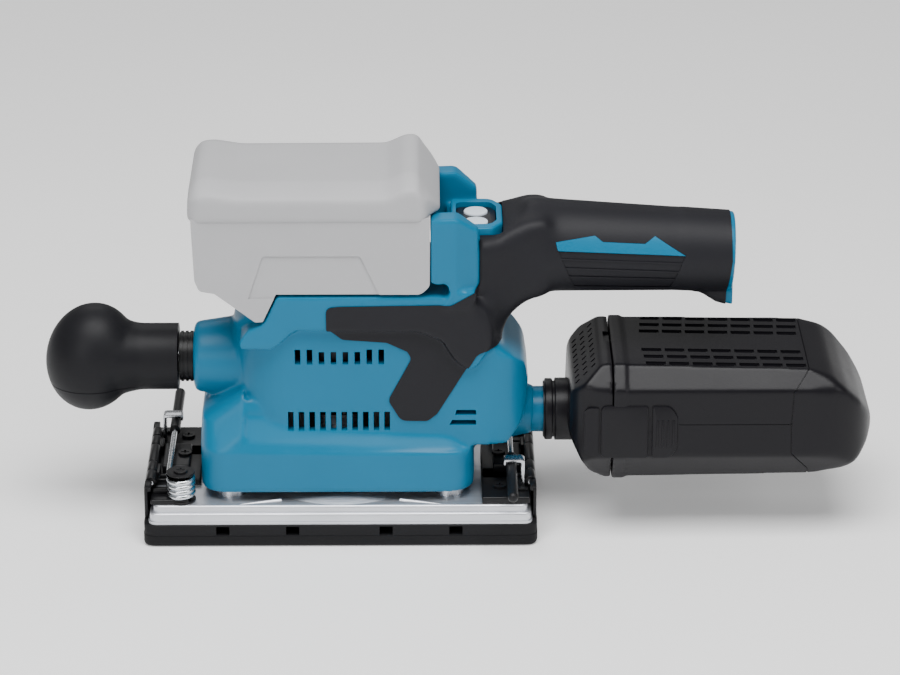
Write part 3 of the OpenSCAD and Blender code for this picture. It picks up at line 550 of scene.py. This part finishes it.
def makeForms():
    boss = addRod((-69, 0, 77.7), (-42, 0, 77.7), 16.4, 20.4, edge=2.6)
    spoutRoot = addRod((58, 0, 51.5), (91, 0, 50), 20, 11.2)
    # the deck's side runs into the neck, under the soft grip
    shoulder = addOutline([(40, 90), (40, 118), (66, 121), (72, 122), (75, 112), (73, 96)], -30, 30)
    bevelEdges(shoulder, 9, 4)
    # a low pedestal carries the control panel
    pedestal = addBlock(50, 75.4, -19.6, 19.6, 120, 145, 5, 4)
    core = addRod((86, 0, 134), (184, 0, 130.5), 21.8, 18.3)
    flare = addOutline([(160, 125), (160, 114), (169, 112.4, 10), (176.5, 107.4, 4), (184, 105.6),
                        (184, 125)], -7.4, 7.4)
    piece = meld([skirtForm(), barrelForm(), deckForm(), guardForm(1),
                  guardForm(-1), neckForm(), boss, spoutRoot, shoulder, pedestal, core, flare],
                 housing["skin"], housing["rounds"])
    region = piece.vertex_groups.new(name="neck")
    for vertex in piece.data.vertices:
        x, y, z = vertex.co / mm
        start = 77 if z > 134 else 67 if z > 119 else 60
        reach = min(1, max(0, (x - start) / 5)) * min(1, max(0, (z - 88) / 10))
        if reach > 0 and x < 160:
            region.add([vertex.index], reach, "REPLACE")
    soften = piece.modifiers.new("soften", "SMOOTH")
    soften.factor = 0.5
    soften.iterations = housing["neckRounds"]
    soften.vertex_group = "neck"
    applyAll(piece)
    piece.vertex_groups.clear()
    return piece


def hollowForm():
    skirt = addOutline([(-62.6, -35.2, 12), (59.8, -35.2, 12), (59.8, 35.2, 12),
                        (-62.6, 35.2, 12)], 18, 43, "Z", 6)
    ramp = addOutline([(-47, -28, 10), (56, -28, 10), (56, 28, 10), (-47, 28, 10)], 43, 54, "Z", 6)
    parts = [skirt, ramp, addRod((-1.4, 0, 50), (-1.4, 0, 104), 29.4, sides=96),
             addBlock(26, 74, -24, 24, 52, 97), addBlock(-24, 44, -28, 28, 107, 118.6),
             addBlock(51, 74, -17, 17, 95, 142), addRod((70, 0, 132.5), (186, 0, 130.4), 15)]
    return meld(parts, 2, 0)


def ventCutters():
    cutters = []
    for i in range(8):
        x = -20.6 + i * 5.55
        tall = 6.2 if i in (2, 3, 4, 5) else 7.4
        cutters.append(addBlock(x, x + 2.6, -60, 60, 86.6, 86.6 + tall))
    for i in range(10):
        x = -24.2 + i * 5
        cutters.append(addBlock(x, x + 2.6, -60, 60, 53.2, 62.6))
    for low in (60.9, 55.8):
        cutters.append(addOutline([(51.2 if low < 60 else 53.8, low), (63.6, low),
                                   (63.6, low + 2.5, 0.8), (54.5 if low > 60 else 52.4, low + 2.5)],
                                  -60, 60))
    return joinPieces(cutters)


def ribCutter(form):
    # the ribbed panel is sunk into the grip, and thin ribs stand in it
    sunk = addOutline(ribPanel, -60, 60)
    for (x0, z0), (x1, z1) in ribLines:
        sunk = carve(sunk, addOutline([(x0 - 4, z0 + 0.35), (x1 + 4, z1 + 0.35),
                                       (x1 + 4, z1 - 0.35), (x0 - 4, z0 - 0.35)], -61, 61),
                     solver="EXACT")
    return carve(sunk, swell(copyOf(form), 0.1))


def makeHousing():
    form = makeForms()
    print("housing form", len(form.data.polygons))
    # the soft grip is a skin laid over the form inside its outline
    region = addOutline(gripSide, -60, 60, steps=6)
    grip = combine(swell(copyOf(form), housing["gripProud"]), region, "INTERSECT")
    grip = carve(grip, swell(copyOf(form), -housing["gripDepth"]))
    grip = carve(grip, ribCutter(form))
    grip = carve(grip, addBlock(50, 76.2, -20.2, 20.2, 139.6, 175, 1.5))
    window = addOutline(inlaySide, -60, 60)
    grip = carve(grip, window, True)
    inlay = combine(swell(copyOf(form), 0.75), window, "INTERSECT", True)
    inlay = carve(inlay, swell(copyOf(form), -1))
    bpy.data.objects.remove(window)
    shell = carve(form, hollowForm())
    shell = carve(shell, ventCutters())
    wells = [addBlock(51.8, 76.2, -20.2, 20.2, 143.2, 175), addBlock(10.6, 42.4, -17.4, 17.4, 112, 126),
             addRod((-72, 0, 77.7), (-65.8, 0, 77.7), 12.3), addRod((80, 0, 50), (97, 0, 50), 10.8)]
    for well in wells:
        shell = carve(shell, well)
    for side, name in ((-1, "Left"), (1, "Right")):
        cutBox = addBlock(-120, 260, *sorted((-side * 0.04, -side * 90)), 0, 220)
        half = carve(copyOf(shell), cutBox, True)
        halfInlay = carve(copyOf(inlay), cutBox, True)
        half = joinPieces([half, halfInlay])
        finishPiece(half, "housing" + name, "housing", paints["teal"],
                    ["housing_" + name.lower()])
        halfGrip = carve(copyOf(grip), cutBox)
        finishPiece(halfGrip, "grip" + name, "housing", paints["grip"],
                    ["grip_" + name.lower()])
        print(name, len(half.data.polygons), len(halfGrip.data.polygons))
    for spare in (shell, grip, inlay):
        bpy.data.objects.remove(spare)


makeHousing()
print("housing ready")

capSide = [(175.2, 112), (182.6, 102, 3), (184.5, 101, 2), (188.6, 101, 3), (191, 107, 4),
           (191.5, 133, 6), (189.4, 143, 4), (188, 148.4, 1.5), (181.4, 149)]


def makeCap():
    # a disc over the handle's end, with a lobe that hangs below it
    piece = addOutline(capSide, -18, 18)
    disc = addRod((170, 0, 130.4), (196, 0, 130.4), 17.8, sides=96)
    lobe = addOutline([(-17.3, 127), (-8.6, 107, 5), (-6, 98), (6, 98), (8.6, 107, 5),
                       (17.3, 127)], 170, 196, "X")
    piece = combine(piece, combine(disc, lobe, "UNION", solver="EXACT"), "INTERSECT", solver="EXACT")
    cleanNormals(piece)
    piece = carve(piece, addRod((150, 0, 131.5), (182, 0, 130.5), 20), solver="EXACT")
    bevelSharp(piece, 1.3, 3, 40)
    # a fine line follows the front edge, and a notch cuts the top corner
    line = addOutline([(183.6, 96), (184, 96), (184, 160), (183.6, 160)], -25, 25)
    core = addRod((180, 0, 130.4), (190, 0, 130.4), 17.2, sides=96)
    coreLobe = addOutline([(-16.4, 127), (-8, 107, 5), (-5.6, 101.6), (5.6, 101.6), (8, 107, 5),
                           (16.4, 127)], 180, 190, "X")
    line = carve(line, combine(core, coreLobe, "UNION", solver="EXACT"), solver="EXACT")
    piece = carve(piece, line, solver="EXACT")
    piece = carve(piece, addBlock(187.2, 196, -4, 3, 141.5, 152, 0.4), solver="EXACT")
    return finishPiece(piece, "endCap", "housing", paints["teal"], ["end_cap"])


def makePanel():
    plan = [(52, -20, 3), (71, -20, 6), (76, -12, 5), (76, 12, 5), (71, 20, 6), (52, 20, 3)]
    bezel = addOutline(plan, 144, 149.4, "Z")
    bevelEdges(bezel, 1.1, 3, lambda a, b: min(a.z, b.z) > 149)
    hole = addOutline([(54.4, -14.6, 4), (70.6, -14.6, 4), (73.2, -9, 3), (73.2, 9, 3),
                       (70.6, 14.6, 4), (54.4, 14.6, 4)], 140, 160, "Z")
    bezel = carve(bezel, hole, solver="EXACT")
    finishPiece(bezel, "panelBezel", "housing", paints["teal"], ["panel_bezel"])
    face = addOutline([(54.5, -13.9, 3.6), (70.4, -13.9, 3.6), (72.9, -8.8, 3), (72.9, 8.8, 3),
                       (70.4, 13.9, 3.6), (54.5, 13.9, 3.6)], 144, 147.4, "Z")
    bevelEdges(face, 0.5, 2, lambda a, b: min(a.z, b.z) > 147)
    for y in (-6.9, 6.9):
        face = carve(face, addRod((63.7, y, 142), (63.7, y, 150), 6), solver="EXACT")
    finishPiece(face, "panelFace", "housing", paints["panel"], ["panel_face"])
    for y, name in ((6.9, "power"), (-6.9, "speed")):
        cap = addRod((63.7, y, 144.7), (63.7, y, 148.2), 5.6, edge=0.7)
        finishPiece(cap, name + "ButtonCap", name + "_button", paints["button"],
                    [name + "_button"])


makeCap()
makePanel()
print("cap and panel ready")


# ---------- front knob
def makeKnob():
    ball = [addBall((0, 0, 0), 21.7, (1, 1, 1.21)), addRod((-108, 0, 77.7), (-95, 0, 77.7), 19, 15.9),
            addRod((-100, 0, 77.7), (-60, 0, 77.7), 15.8)]
    ball[0].rotation_euler = (0, math.radians(12), 0)
    ball[0].location = (-117.4 * mm, 0, 77.7 * mm)
    place(ball[0])
    piece = meld(ball, 1.0, 26)
    piece = carve(piece, addBlock(-76.4, -50, -30, 30, 40, 110))
    bevelEdges(piece, 0.8, 3, lambda a, b: min(a.x, b.x) > -76.5)
    # the mould's parting line runs round the ball
    line = carve(addBlock(-145, -96, -30, 30, 66.4, 66.8), swell(copyOf(piece), -0.25))
    piece = carve(piece, line)
    piece = carve(piece, addRod((-100.5, 0, 77.7), (-70, 0, 77.7), 4.05))
    return finishPiece(piece, "frontKnob", "knob", paints["knob"], ["front_knob"])


makeKnob()
print("knob ready")

# ---------- battery
batterySide = [(-69, 158.2, 2), (-68.4, 171, 6), (-65, 176.2, 7), (-58, 176.6, 8), (-46, 174.6, 8),
               (22, 174.8, 10), (31, 179, 8), (36.4, 179.2, 4), (46.6, 163.4, 2), (47.4, 161.6, 1),
               (46, 160.2), (41.6, 160.2), (40, 158.2)]
batteryLow = [(-67.2, 160), (-66, 130, 3), (-64, 124.8, 3), (-57, 123.6, 2), (-38.4, 109.4, 2),
              (-34.9, 109.6, 1.2), (-28.7, 123), (38, 123, 5), (42.1, 127, 4), (42.2, 160)]


def makeBattery():
    upper = addOutline(batterySide, -37.5, 37.5, steps=6)
    plan = addOutline([(-69.4, -37.5, 8), (39, -37.5, 6), (47.6, -26, 8), (47.6, 26, 8),
                       (39, 37.5, 6), (-69.4, 37.5, 8)], 150, 190, "Z", 6)
    upper = meld([combine(upper, plan, "INTERSECT", solver="EXACT")], 0.9, 6)
    # the top is flat in the middle and falls away towards the sides
    for vertex in upper.data.vertices:
        out = max(0, (abs(vertex.co.y) / mm - 24) / 13.4)
        height = min(1, max(0, (vertex.co.z / mm - 163) / 11))
        vertex.co.z -= 5.6 * mm * out * out * height
    upper = meld([upper], 0.9, 5)
    finishPiece(upper, "batteryUpper", "battery", paints["battery"],
                ["battery_upper_case"], 40)
    lower = addOutline(batteryLow, -36.6, 36.6, steps=5)
    bevelEdges(lower, 5, 5, lambda a, b: abs(a.y - b.y) < 1 and abs(a.y) > 36 and
               not (min(a.z, b.z) > 159.5) and abs(a.z - b.z) > abs(a.x - b.x) * 2)
    panels = []
    for side in (-1, 1):
        near, far = sorted((side * 36.0, side * 45))
        panels.append(addOutline([(-41.5, 121), (-34.6, 142, 2), (10.2, 142, 2), (19.8, 121)],
                                 near, far))
    lower = carve(lower, joinPieces(panels), solver="EXACT")
    slots = [addBlock(-20.5, 60, *sorted((s * 23.4, s * 27.6)), 120, 125.8) for s in (-1, 1)]
    slots += [addBlock(-20.5, 60, *sorted((s * 23.4, s * 30.5)), 124.2, 127.8) for s in (-1, 1)]
    slots += [addBlock(9, 60, -17.5, 17.5, 120, 131), addBlock(-80, -57.6, -13.2, 13.2, 138, 154)]
    for slot in slots:
        lower = carve(lower, slot, solver="EXACT")
    finishPiece(lower, "batteryLower", "battery", paints["battery"],
                ["battery_lower_case"])
    button = addBlock(-68.4, -60, -12, 12, 142, 153, 0.8, 2)
    ribs = [addBlock(-69, -67.9, -9, 9, z, z + 1.2) for z in (145.5, 148, 150.5)]
    button = carve(button, joinPieces(ribs), solver="EXACT")
    finishPiece(button, "batteryRelease", "battery_button", paints["battery"],
                ["battery_button"])


makeBattery()
print("battery ready")


# ---------- pad and base
def roundPlan(x, y, radius):
    return [(-x, -y, radius), (x, -y, radius), (x, y, radius), (-x, y, radius)]


def makePad():
    foam = addOutline(roundPlan(92.5, 46.5, 6), 0, 5.3, "Z", 6)
    bevelEdges(foam, 1.6, 3, lambda a, b: max(a.z, b.z) < 0.1)
    finishPiece(foam, "padFoam", "pad", paints["pad"], ["pad_foam"], 50)
    layer = addOutline(roundPlan(92.3, 46.3, 6), 5.3, 10.9, "Z", 6)
    bevelEdges(layer, 0.8, 2, lambda a, b: min(a.z, b.z) > 10.8)
    notches = [addBlock(x - 3.6, x + 2.6, y, y + 16, 5.7, 10.1)
               for x in (-54.6, -21.9, 21.9, 54.6) for y in (-54.5, 38.5)]
    layer = carve(layer, joinPieces(notches), solver="EXACT")
    finishPiece(layer, "padBacking", "pad", paints["backing"], ["pad_backing"], 50)


def makeBase():
    flange = addOutline(roundPlan(90, 45.5, 4), 10.9, 12.1, "Z", 5)
    lip = addOutline(roundPlan(89.4, 44.9, 4), 12.0, 16.1, "Z", 5)
    bevelEdges(lip, 0.9, 3, lambda a, b: min(a.z, b.z) > 16)
    band = addOutline(roundPlan(87.8, 43.3, 4), 16.0, 19.5, "Z", 5)
    bevelEdges(band, 1.1, 4, lambda a, b: min(a.z, b.z) > 19.4)
    dome = addRod((0, 0, 19.2), (0, 0, 22.2), 43, 34, sides=160, edge=1)
    ridges = []
    for sx in (-1, 1):
        for sy in (-1, 1):
            # low pressed creases fan out from the dome to the corners
            ridge = addRod((sx * 28, sy * 36.6, 18.9), (sx * 47, sy * 41.4, 19.1), 1.5, 0.5, 20)
            ridges.append(ridge)
    piece = joinPieces([flange, lip, band, dome] + ridges)
    return finishPiece(piece, "basePlate", "pad", paints["aluminium"],
                       ["base_plate"], 40)


makePad()
makeBase()
print("pad and base ready")


# ---------- clamps, made at the front and turned for the rear
clamp = {"postX": 74.8, "postY": 36, "coil": 5.6, "wire": 1.3, "armX": 80.4, "armZ": 32.2,
         "turns": 5, "hingeX": 89.4, "hingeZ": 25.8}


def addHelix(x, y, low, radius, wire, turns, pitch):
    bpy.ops.mesh.primitive_circle_add(vertices=14, radius=wire * mm, fill_type="NOTHING",
                                      location=(radius * mm, 0, 0), rotation=(math.pi / 2, 0, 0))
    piece = place(bpy.context.object)
    piece.location = (0, 0, 0)
    coil = piece.modifiers.new("coil", "SCREW")
    coil.axis = "Z"
    coil.angle = math.tau * turns
    coil.screw_offset = pitch * turns * mm
    coil.steps = coil.render_steps = 40 * turns
    applyAll(piece)
    piece.location = (x * mm, y * mm, low * mm)
    piece.rotation_euler = (0, 0, math.pi)
    place(piece)
    pick(piece)
    bpy.ops.object.mode_set(mode="EDIT")
    bpy.ops.mesh.select_all(action="SELECT")
    bpy.ops.mesh.fill_holes(sides=0)
    bpy.ops.object.mode_set(mode="OBJECT")
    return cleanNormals(piece)


def leverPiece():
    pitch = 2.44
    low = clamp["armZ"] - (clamp["turns"] - 1) * pitch
    coil = addHelix(-clamp["postX"], -clamp["postY"], low, clamp["coil"], clamp["wire"],
                    clamp["turns"] - 1, pitch)
    arm = addRod((-clamp["armX"], -clamp["postY"], clamp["armZ"]),
                 (-clamp["armX"], 59, clamp["armZ"]), clamp["wire"], sides=20)
    return joinPieces([coil, arm])


def sleevePiece():
    arm = addRod((-clamp["armX"], 16, clamp["armZ"]), (-clamp["armX"], 62, clamp["armZ"]),
                 2.5, sides=32)
    tip = addBall((-clamp["armX"], 62, clamp["armZ"]), 2.5)
    mouth = addRod((-clamp["armX"], 15.9, clamp["armZ"]), (-clamp["armX"], 18, clamp["armZ"]), 2.6,
                   sides=32, edge=0.4)
    return joinPieces([arm, tip, mouth])


def hookPiece():
    strap = addOutline([(-88, 19.5), (-88, 20.9), (-86.6, 21.6), (-86.6, 36.9, 2), (-76.8, 36.9, 1.6),
                        (-76.8, 33.8), (-78.2, 33.8), (-78.2, 35.2, 0.4), (-84.9, 35.2, 0.8),
                        (-84.9, 19.5)], 24, 30, steps=6)
    return bevelSharp(strap, 0.35, 2, 50)


def holderPiece():
    blocks = [addBlock(-89, -66.4, -20, 20, 19.5, 22.9, 0.7), addBlock(-89, -71, -42, -26, 19.5, 22, 0.7),
              addBlock(-89, -66.4, 8, 42, 19.5, 22.9, 0.7), addBlock(-85, -72, -13, 13, 22.5, 27, 0.8)]
    for y in (-15, 15):
        blocks.append(addRod((-89.4, y - 5, 25.8), (-89.4, y + 5, 25.8), 2.6, sides=24, edge=0.4))
        blocks.append(addBlock(-89.2, -85.6, y - 5, y + 5, 22.6, 26.7, 0.5))
    for y in (-34, -18, 18, 34):
        blocks.append(addBlock(-88, -80.8, y - 1, y + 1, 21.6, 24.4, 0.4, 2))
    piece = joinPieces(blocks)
    return piece


def jawPiece():
    parts = [addBlock(-92, -90.4, -39, 39, 11.2, 26, 0.5, 2)]
    for low, high in ((-30, -20.4), (-9.6, 9.6), (20.4, 30)):
        parts.append(addRod((-89.4, low, 25.8), (-89.4, high, 25.8), 2.6, sides=24, edge=0.3))
    for y in (-34.5, 34.5):
        parts.append(addBlock(-92, -88.8, y - 4, y + 4, 24.4, 27.4, 0.6, 2))
    return joinPieces(parts)


def postPiece():
    x, y = -clamp["postX"], -clamp["postY"]
    washer = addRod((x, y, 33.4), (x, y, 34.1), 6.7, sides=64, edge=0.2)
    pin = addRod((x, y, 19), (x, y, 34), 3.6, sides=32)
    foot = addRod((x, y, 19.5), (x, y, 20.6), 6.9, sides=64, edge=0.3)
    head = addRod((x, y, 34), (x, y, 34.9), 3.4, sides=40, edge=0.3)
    cross = [addBlock(x - 2, x + 2, y - 0.4, y + 0.4, 34.5, 36), addBlock(x - 0.4, x + 0.4, y - 2, y + 2, 34.5, 36)]
    for bar in cross:
        head = carve(head, bar, solver="EXACT")
    return joinPieces([washer, pin, foot, head])


def makeClamps():
    kinds = [
        (leverPiece, "Lever", "_lever", "zinc", "zinc_wire", "_lever"),
        (sleevePiece, "Sleeve", "_lever", "vinyl", "black_vinyl", "_lever_sleeve"),
        (hookPiece, "Hook", "pad", "steel", "cup_steel", "_hook"),
        (holderPiece, "Holder", "pad", "blackMetal", "clamp_black", "_holder"),
        (jawPiece, "Jaw", "_jaw", "blackMetal", "clamp_black", "_jaw"),
    ]
    for make, suffix, body, paint, slotName, node in kinds:
        for end in ("front", "rear"):
            piece = make()
            if end == "rear":
                halfTurn(piece)
            finishPiece(piece, end + suffix, end + body if body[0] == "_" else body,
                        paints[paint], [end + node], 40)
    posts = joinPieces([postPiece(), halfTurn(postPiece())])
    finishPiece(posts, "coilPosts", "pad", paints["blackMetal"], ["coil_posts"], 40)


makeClamps()
print("clamps ready")

# ---------- dust box
dustFront = [(106.9, 50, 6), (116.6, 31.6, 8), (123.6, 26.8, 3), (127, 26), (127, 85.7),
             (122, 85.3, 4), (107.8, 72, 7)]
dustRear = [(127.4, 26.2), (133, 26.4, 2), (135, 27.2), (224, 29.4, 12), (236, 32.4, 8), (243, 37, 8),
            (248, 43.8, 8), (250.6, 51.5, 10), (248.6, 58.5, 8), (243.4, 66.5, 10), (236.3, 74.3, 10),
            (229, 80.4, 8), (219, 83.5, 4), (135, 85.2, 2), (133, 85.7), (127.4, 85.8)]


def boxSection(y, low, high, x0, x1):
    return addOutline([(-y, low + 16, 5), (-y + 12, low, 4), (y - 12, low, 4), (y, low + 16, 5),
                       (y, high - 10, 2.5), (y - 9, high, 2.5), (-y + 9, high, 2.5),
                       (-y, high - 10, 2.5)], x0, x1, "X", 4)


def makeDustFront():
    plan = addOutline([(106.9, -39, 20), (140, -39), (140, 39), (106.9, 39, 20)], 0, 120, "Z", 8)
    piece = combine(boxSection(39, 26, 85.7, 100, 127), addOutline(dustFront, -60, 60),
                    "INTERSECT", solver="EXACT")
    piece = combine(piece, plan, "INTERSECT", solver="EXACT")
    piece = meld([piece], 1.0, 5)
    piece = carve(piece, addBlock(126.9, 140, -60, 60, 0, 120))
    piece = carve(piece, boxSection(35.5, 29, 82.5, 120, 130))
    slots = []
    # short slanted slots in the front's upper chamfer
    for row in range(3):
        for k in range(9):
            slot = addBlock(-1.3, 1.3, -0.8, 0.8, -2.5, 1.6)
            slot.rotation_euler = (0, -math.radians(44), math.radians(20))
            y = -26 + k * 6.2 + row * 1.4
            slot.location = ((111 + row * 3.7) * mm, y * mm, (75 + row * 3.5) * mm)
            slots.append(place(slot))
    # one by one, as neighbours may touch
    for slot in slots:
        piece = carve(piece, slot)
    piece = carve(piece, addBlock(124, 130, -2, 10, 84.2, 90))
    print("front case", len(piece.data.polygons))
    plates = [addOutline([(114, 43, 3), (120.6, 43, 1), (120.6, 67, 1), (114, 67, 3)], *side)
              for side in ((-39.6, -38), (38, 39.6))]
    bore = addRod((90, 0, 50), (121, 0, 50), 10.9)
    pieces = [carve(piece, bore, True)] + plates
    for x0, x1, radius, edge in ((96.4, 100.2, 14.6, 0.7), (95.8, 109, 13.4, 0),
                                 (101.2, 110, 14.85, 0.6)):
        pieces.append(carve(addRod((x0, 0, 50), (x1, 0, 50), radius, edge=edge), bore, True))
    bpy.data.objects.remove(bore)
    piece = joinPieces(pieces)
    return finishPiece(piece, "dustFront", "dust_box", paints["dust"],
                       ["dust_case_front"])


def makeDustRear():
    plan = addOutline([(100, -40), (250.6, -40, 30), (250.6, 40, 30), (100, 40)], 0, 120, "Z", 12)
    piece = combine(boxSection(39.3, 26.4, 85.2, 127.4, 250.7), addOutline(dustRear, -60, 60, steps=6),
                    "INTERSECT", solver="EXACT")
    piece = combine(piece, plan, "INTERSECT", solver="EXACT")
    rim = combine(boxSection(40, 26, 85.8, 127.4, 133.6), addOutline(
        [(127.4, 20), (133.6, 20), (133.6, 90), (127.4, 90)], -60, 60), "INTERSECT", solver="EXACT")
    bevelEdges(rim, 0.6, 2, lambda a, b: min(a.x, b.x) > 133)
    piece = meld([piece, rim], 0.9, 3)
    # the end is one soft dome
    region = piece.vertex_groups.new(name="end")
    for vertex in piece.data.vertices:
        reach = min(1, max(0, (vertex.co.x / mm - 219) / 9))
        if reach > 0:
            region.add([vertex.index], reach, "REPLACE")
    soften = piece.modifiers.new("soften", "SMOOTH")
    soften.factor = 0.5
    soften.iterations = 60
    soften.vertex_group = "end"
    applyAll(piece)
    piece.vertex_groups.clear()
    piece = carve(piece, addBlock(100, 127.5, -60, 60, 0, 120))
    skin = swell(copyOf(piece), -0.45)
    # parting line of the end, following the roof's edge and the side
    line = addOutline([(218.6, 90), (219.2, 90), (219.2, 84), (211.4, 74.3), (210.6, 58), (211, 44),
                       (219.6, 33), (220.4, 20), (219.8, 20), (219, 33), (210.4, 44), (210, 58),
                       (210.8, 74.5), (218.6, 84)], -60, 60)
    partings = joinPieces([line, addBlock(158, 211, -60, 60, 58.3, 58.6)])
    piece = carve(piece, carve(partings, skin))
    piece = carve(piece, meld([boxSection(36.4, 30, 81, 120, 222)], 2, 0))
    dishes, louvres = [], []
    for side in (-1, 1):
        for row in range(3):
            y = side * (11.5 + row * 8.2)
            for k in range(7):
                x = 141.5 + k * 10.9 + row * 0.6
                roof = 85.2 - (x - 131) * 0.02
                dishes.append(addBlock(x, x + 9.3, y - 1.9, y + 1.9, roof - 0.9, 90))
                louvres.append(addBlock(x + 0.8, x + 8.5, y - 1, y + 1, 76, 90))
    piece = carve(piece, joinPieces(dishes))
    piece = carve(piece, joinPieces(louvres))
    return finishPiece(piece, "dustRear", "dust_case", paints["dust"],
                       ["dust_case_rear"])


def makeLatch(side):
    low, high = 41.9, 68.1
    plate = addOutline([(121.7, low, 3), (143.6, low, 1), (143.6, high, 1), (121.7, high, 3)],
                       38.4, 40.1)
    button = addOutline([(145.6, low, 1), (154, low, 4), (157.4, low + 5, 6), (157.4, high - 5, 6),
                         (154, high, 4), (145.6, high, 1)], 38.4, 40.3)
    bridge = addBlock(143, 146.4, 38.4, 39.3, low + 0.6, high - 0.6)
    pieces = [bevelSharp(plate, 0.5, 2, 50), bevelSharp(button, 0.6, 2, 50), bridge]
    for i in range(4):
        x = 147.4 + i * 2.5
        pieces.append(addBlock(x, x + 1.1, 39.6, 40.6, 47.2, 61.2, 0.3, 2))
    piece = joinPieces(pieces)
    name = "right"
    if side < 0:
        name = "left"
        piece.scale = (1, -1, 1)
        place(piece)
        cleanNormals(piece)
    return finishPiece(piece, "latch" + name.capitalize(), "dust_latch_" + name,
                       paints["dust"], ["dust_latch_" + name])


makeDustFront()
makeDustRear()
makeLatch(-1)
makeLatch(1)
print("dust box ready")

# ---------- the parts inside keep their own shapes
inside = {
    "brightSteel": ["leg_cups", "hinge_pins", "motor_shaft", "lower_bearing", "upper_bearing",
                    "pad_bearing", "bearing_retainer", "knob_stud"],
    "blackMetal": ["holder_screws", "retainer_screws", "housing_screws", "terminal_block"],
    "aluminium": ["motor_seat"],
    "blackPlastic": ["neck_collar", "cooling_fan", "controller"],
    "rubber": ["rubber_legs"],
    "copper": ["windings"],
    "brass": ["terminals"],
    "lamination": ["stator_core", "rotor_core", "counterweight", "magnets"],
    "board": ["switch_board", "battery_board"],
    "cell": ["battery_cells"],
    "teal": ["battery_rails", "dust_spout"],
    "fabric": ["filter_bag"],
}
paints["brightSteel"] = paints["steel"]
paints["copper"] = metalPaint("copperWire", linear(196, 116, 62), 0.3, (1, 1, 0.05), 3000)
paints["brass"] = metalPaint("brass", linear(205, 170, 96), 0.28)
paints["lamination"] = metalPaint("laminations", linear(56, 57, 60), 0.5, (0.05, 0.05, 1), 2500)
paints["board"] = mouldedPaint("circuitBoard", linear(20, 84, 50), 0.35, 900, 0.05)
paints["cell"] = mouldedPaint("cellSleeve", linear(58, 96, 160), 0.3, 900, 0.03)
paints["fabric"] = mouldedPaint("filterFabric", linear(214, 210, 200), 0.85, 2600, 0.5, 0.15)
for paintName, nodes in inside.items():
    for node in nodes:
        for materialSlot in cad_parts[node].material_slots:
            materialSlot.material = paints[paintName]
print("inside ready")
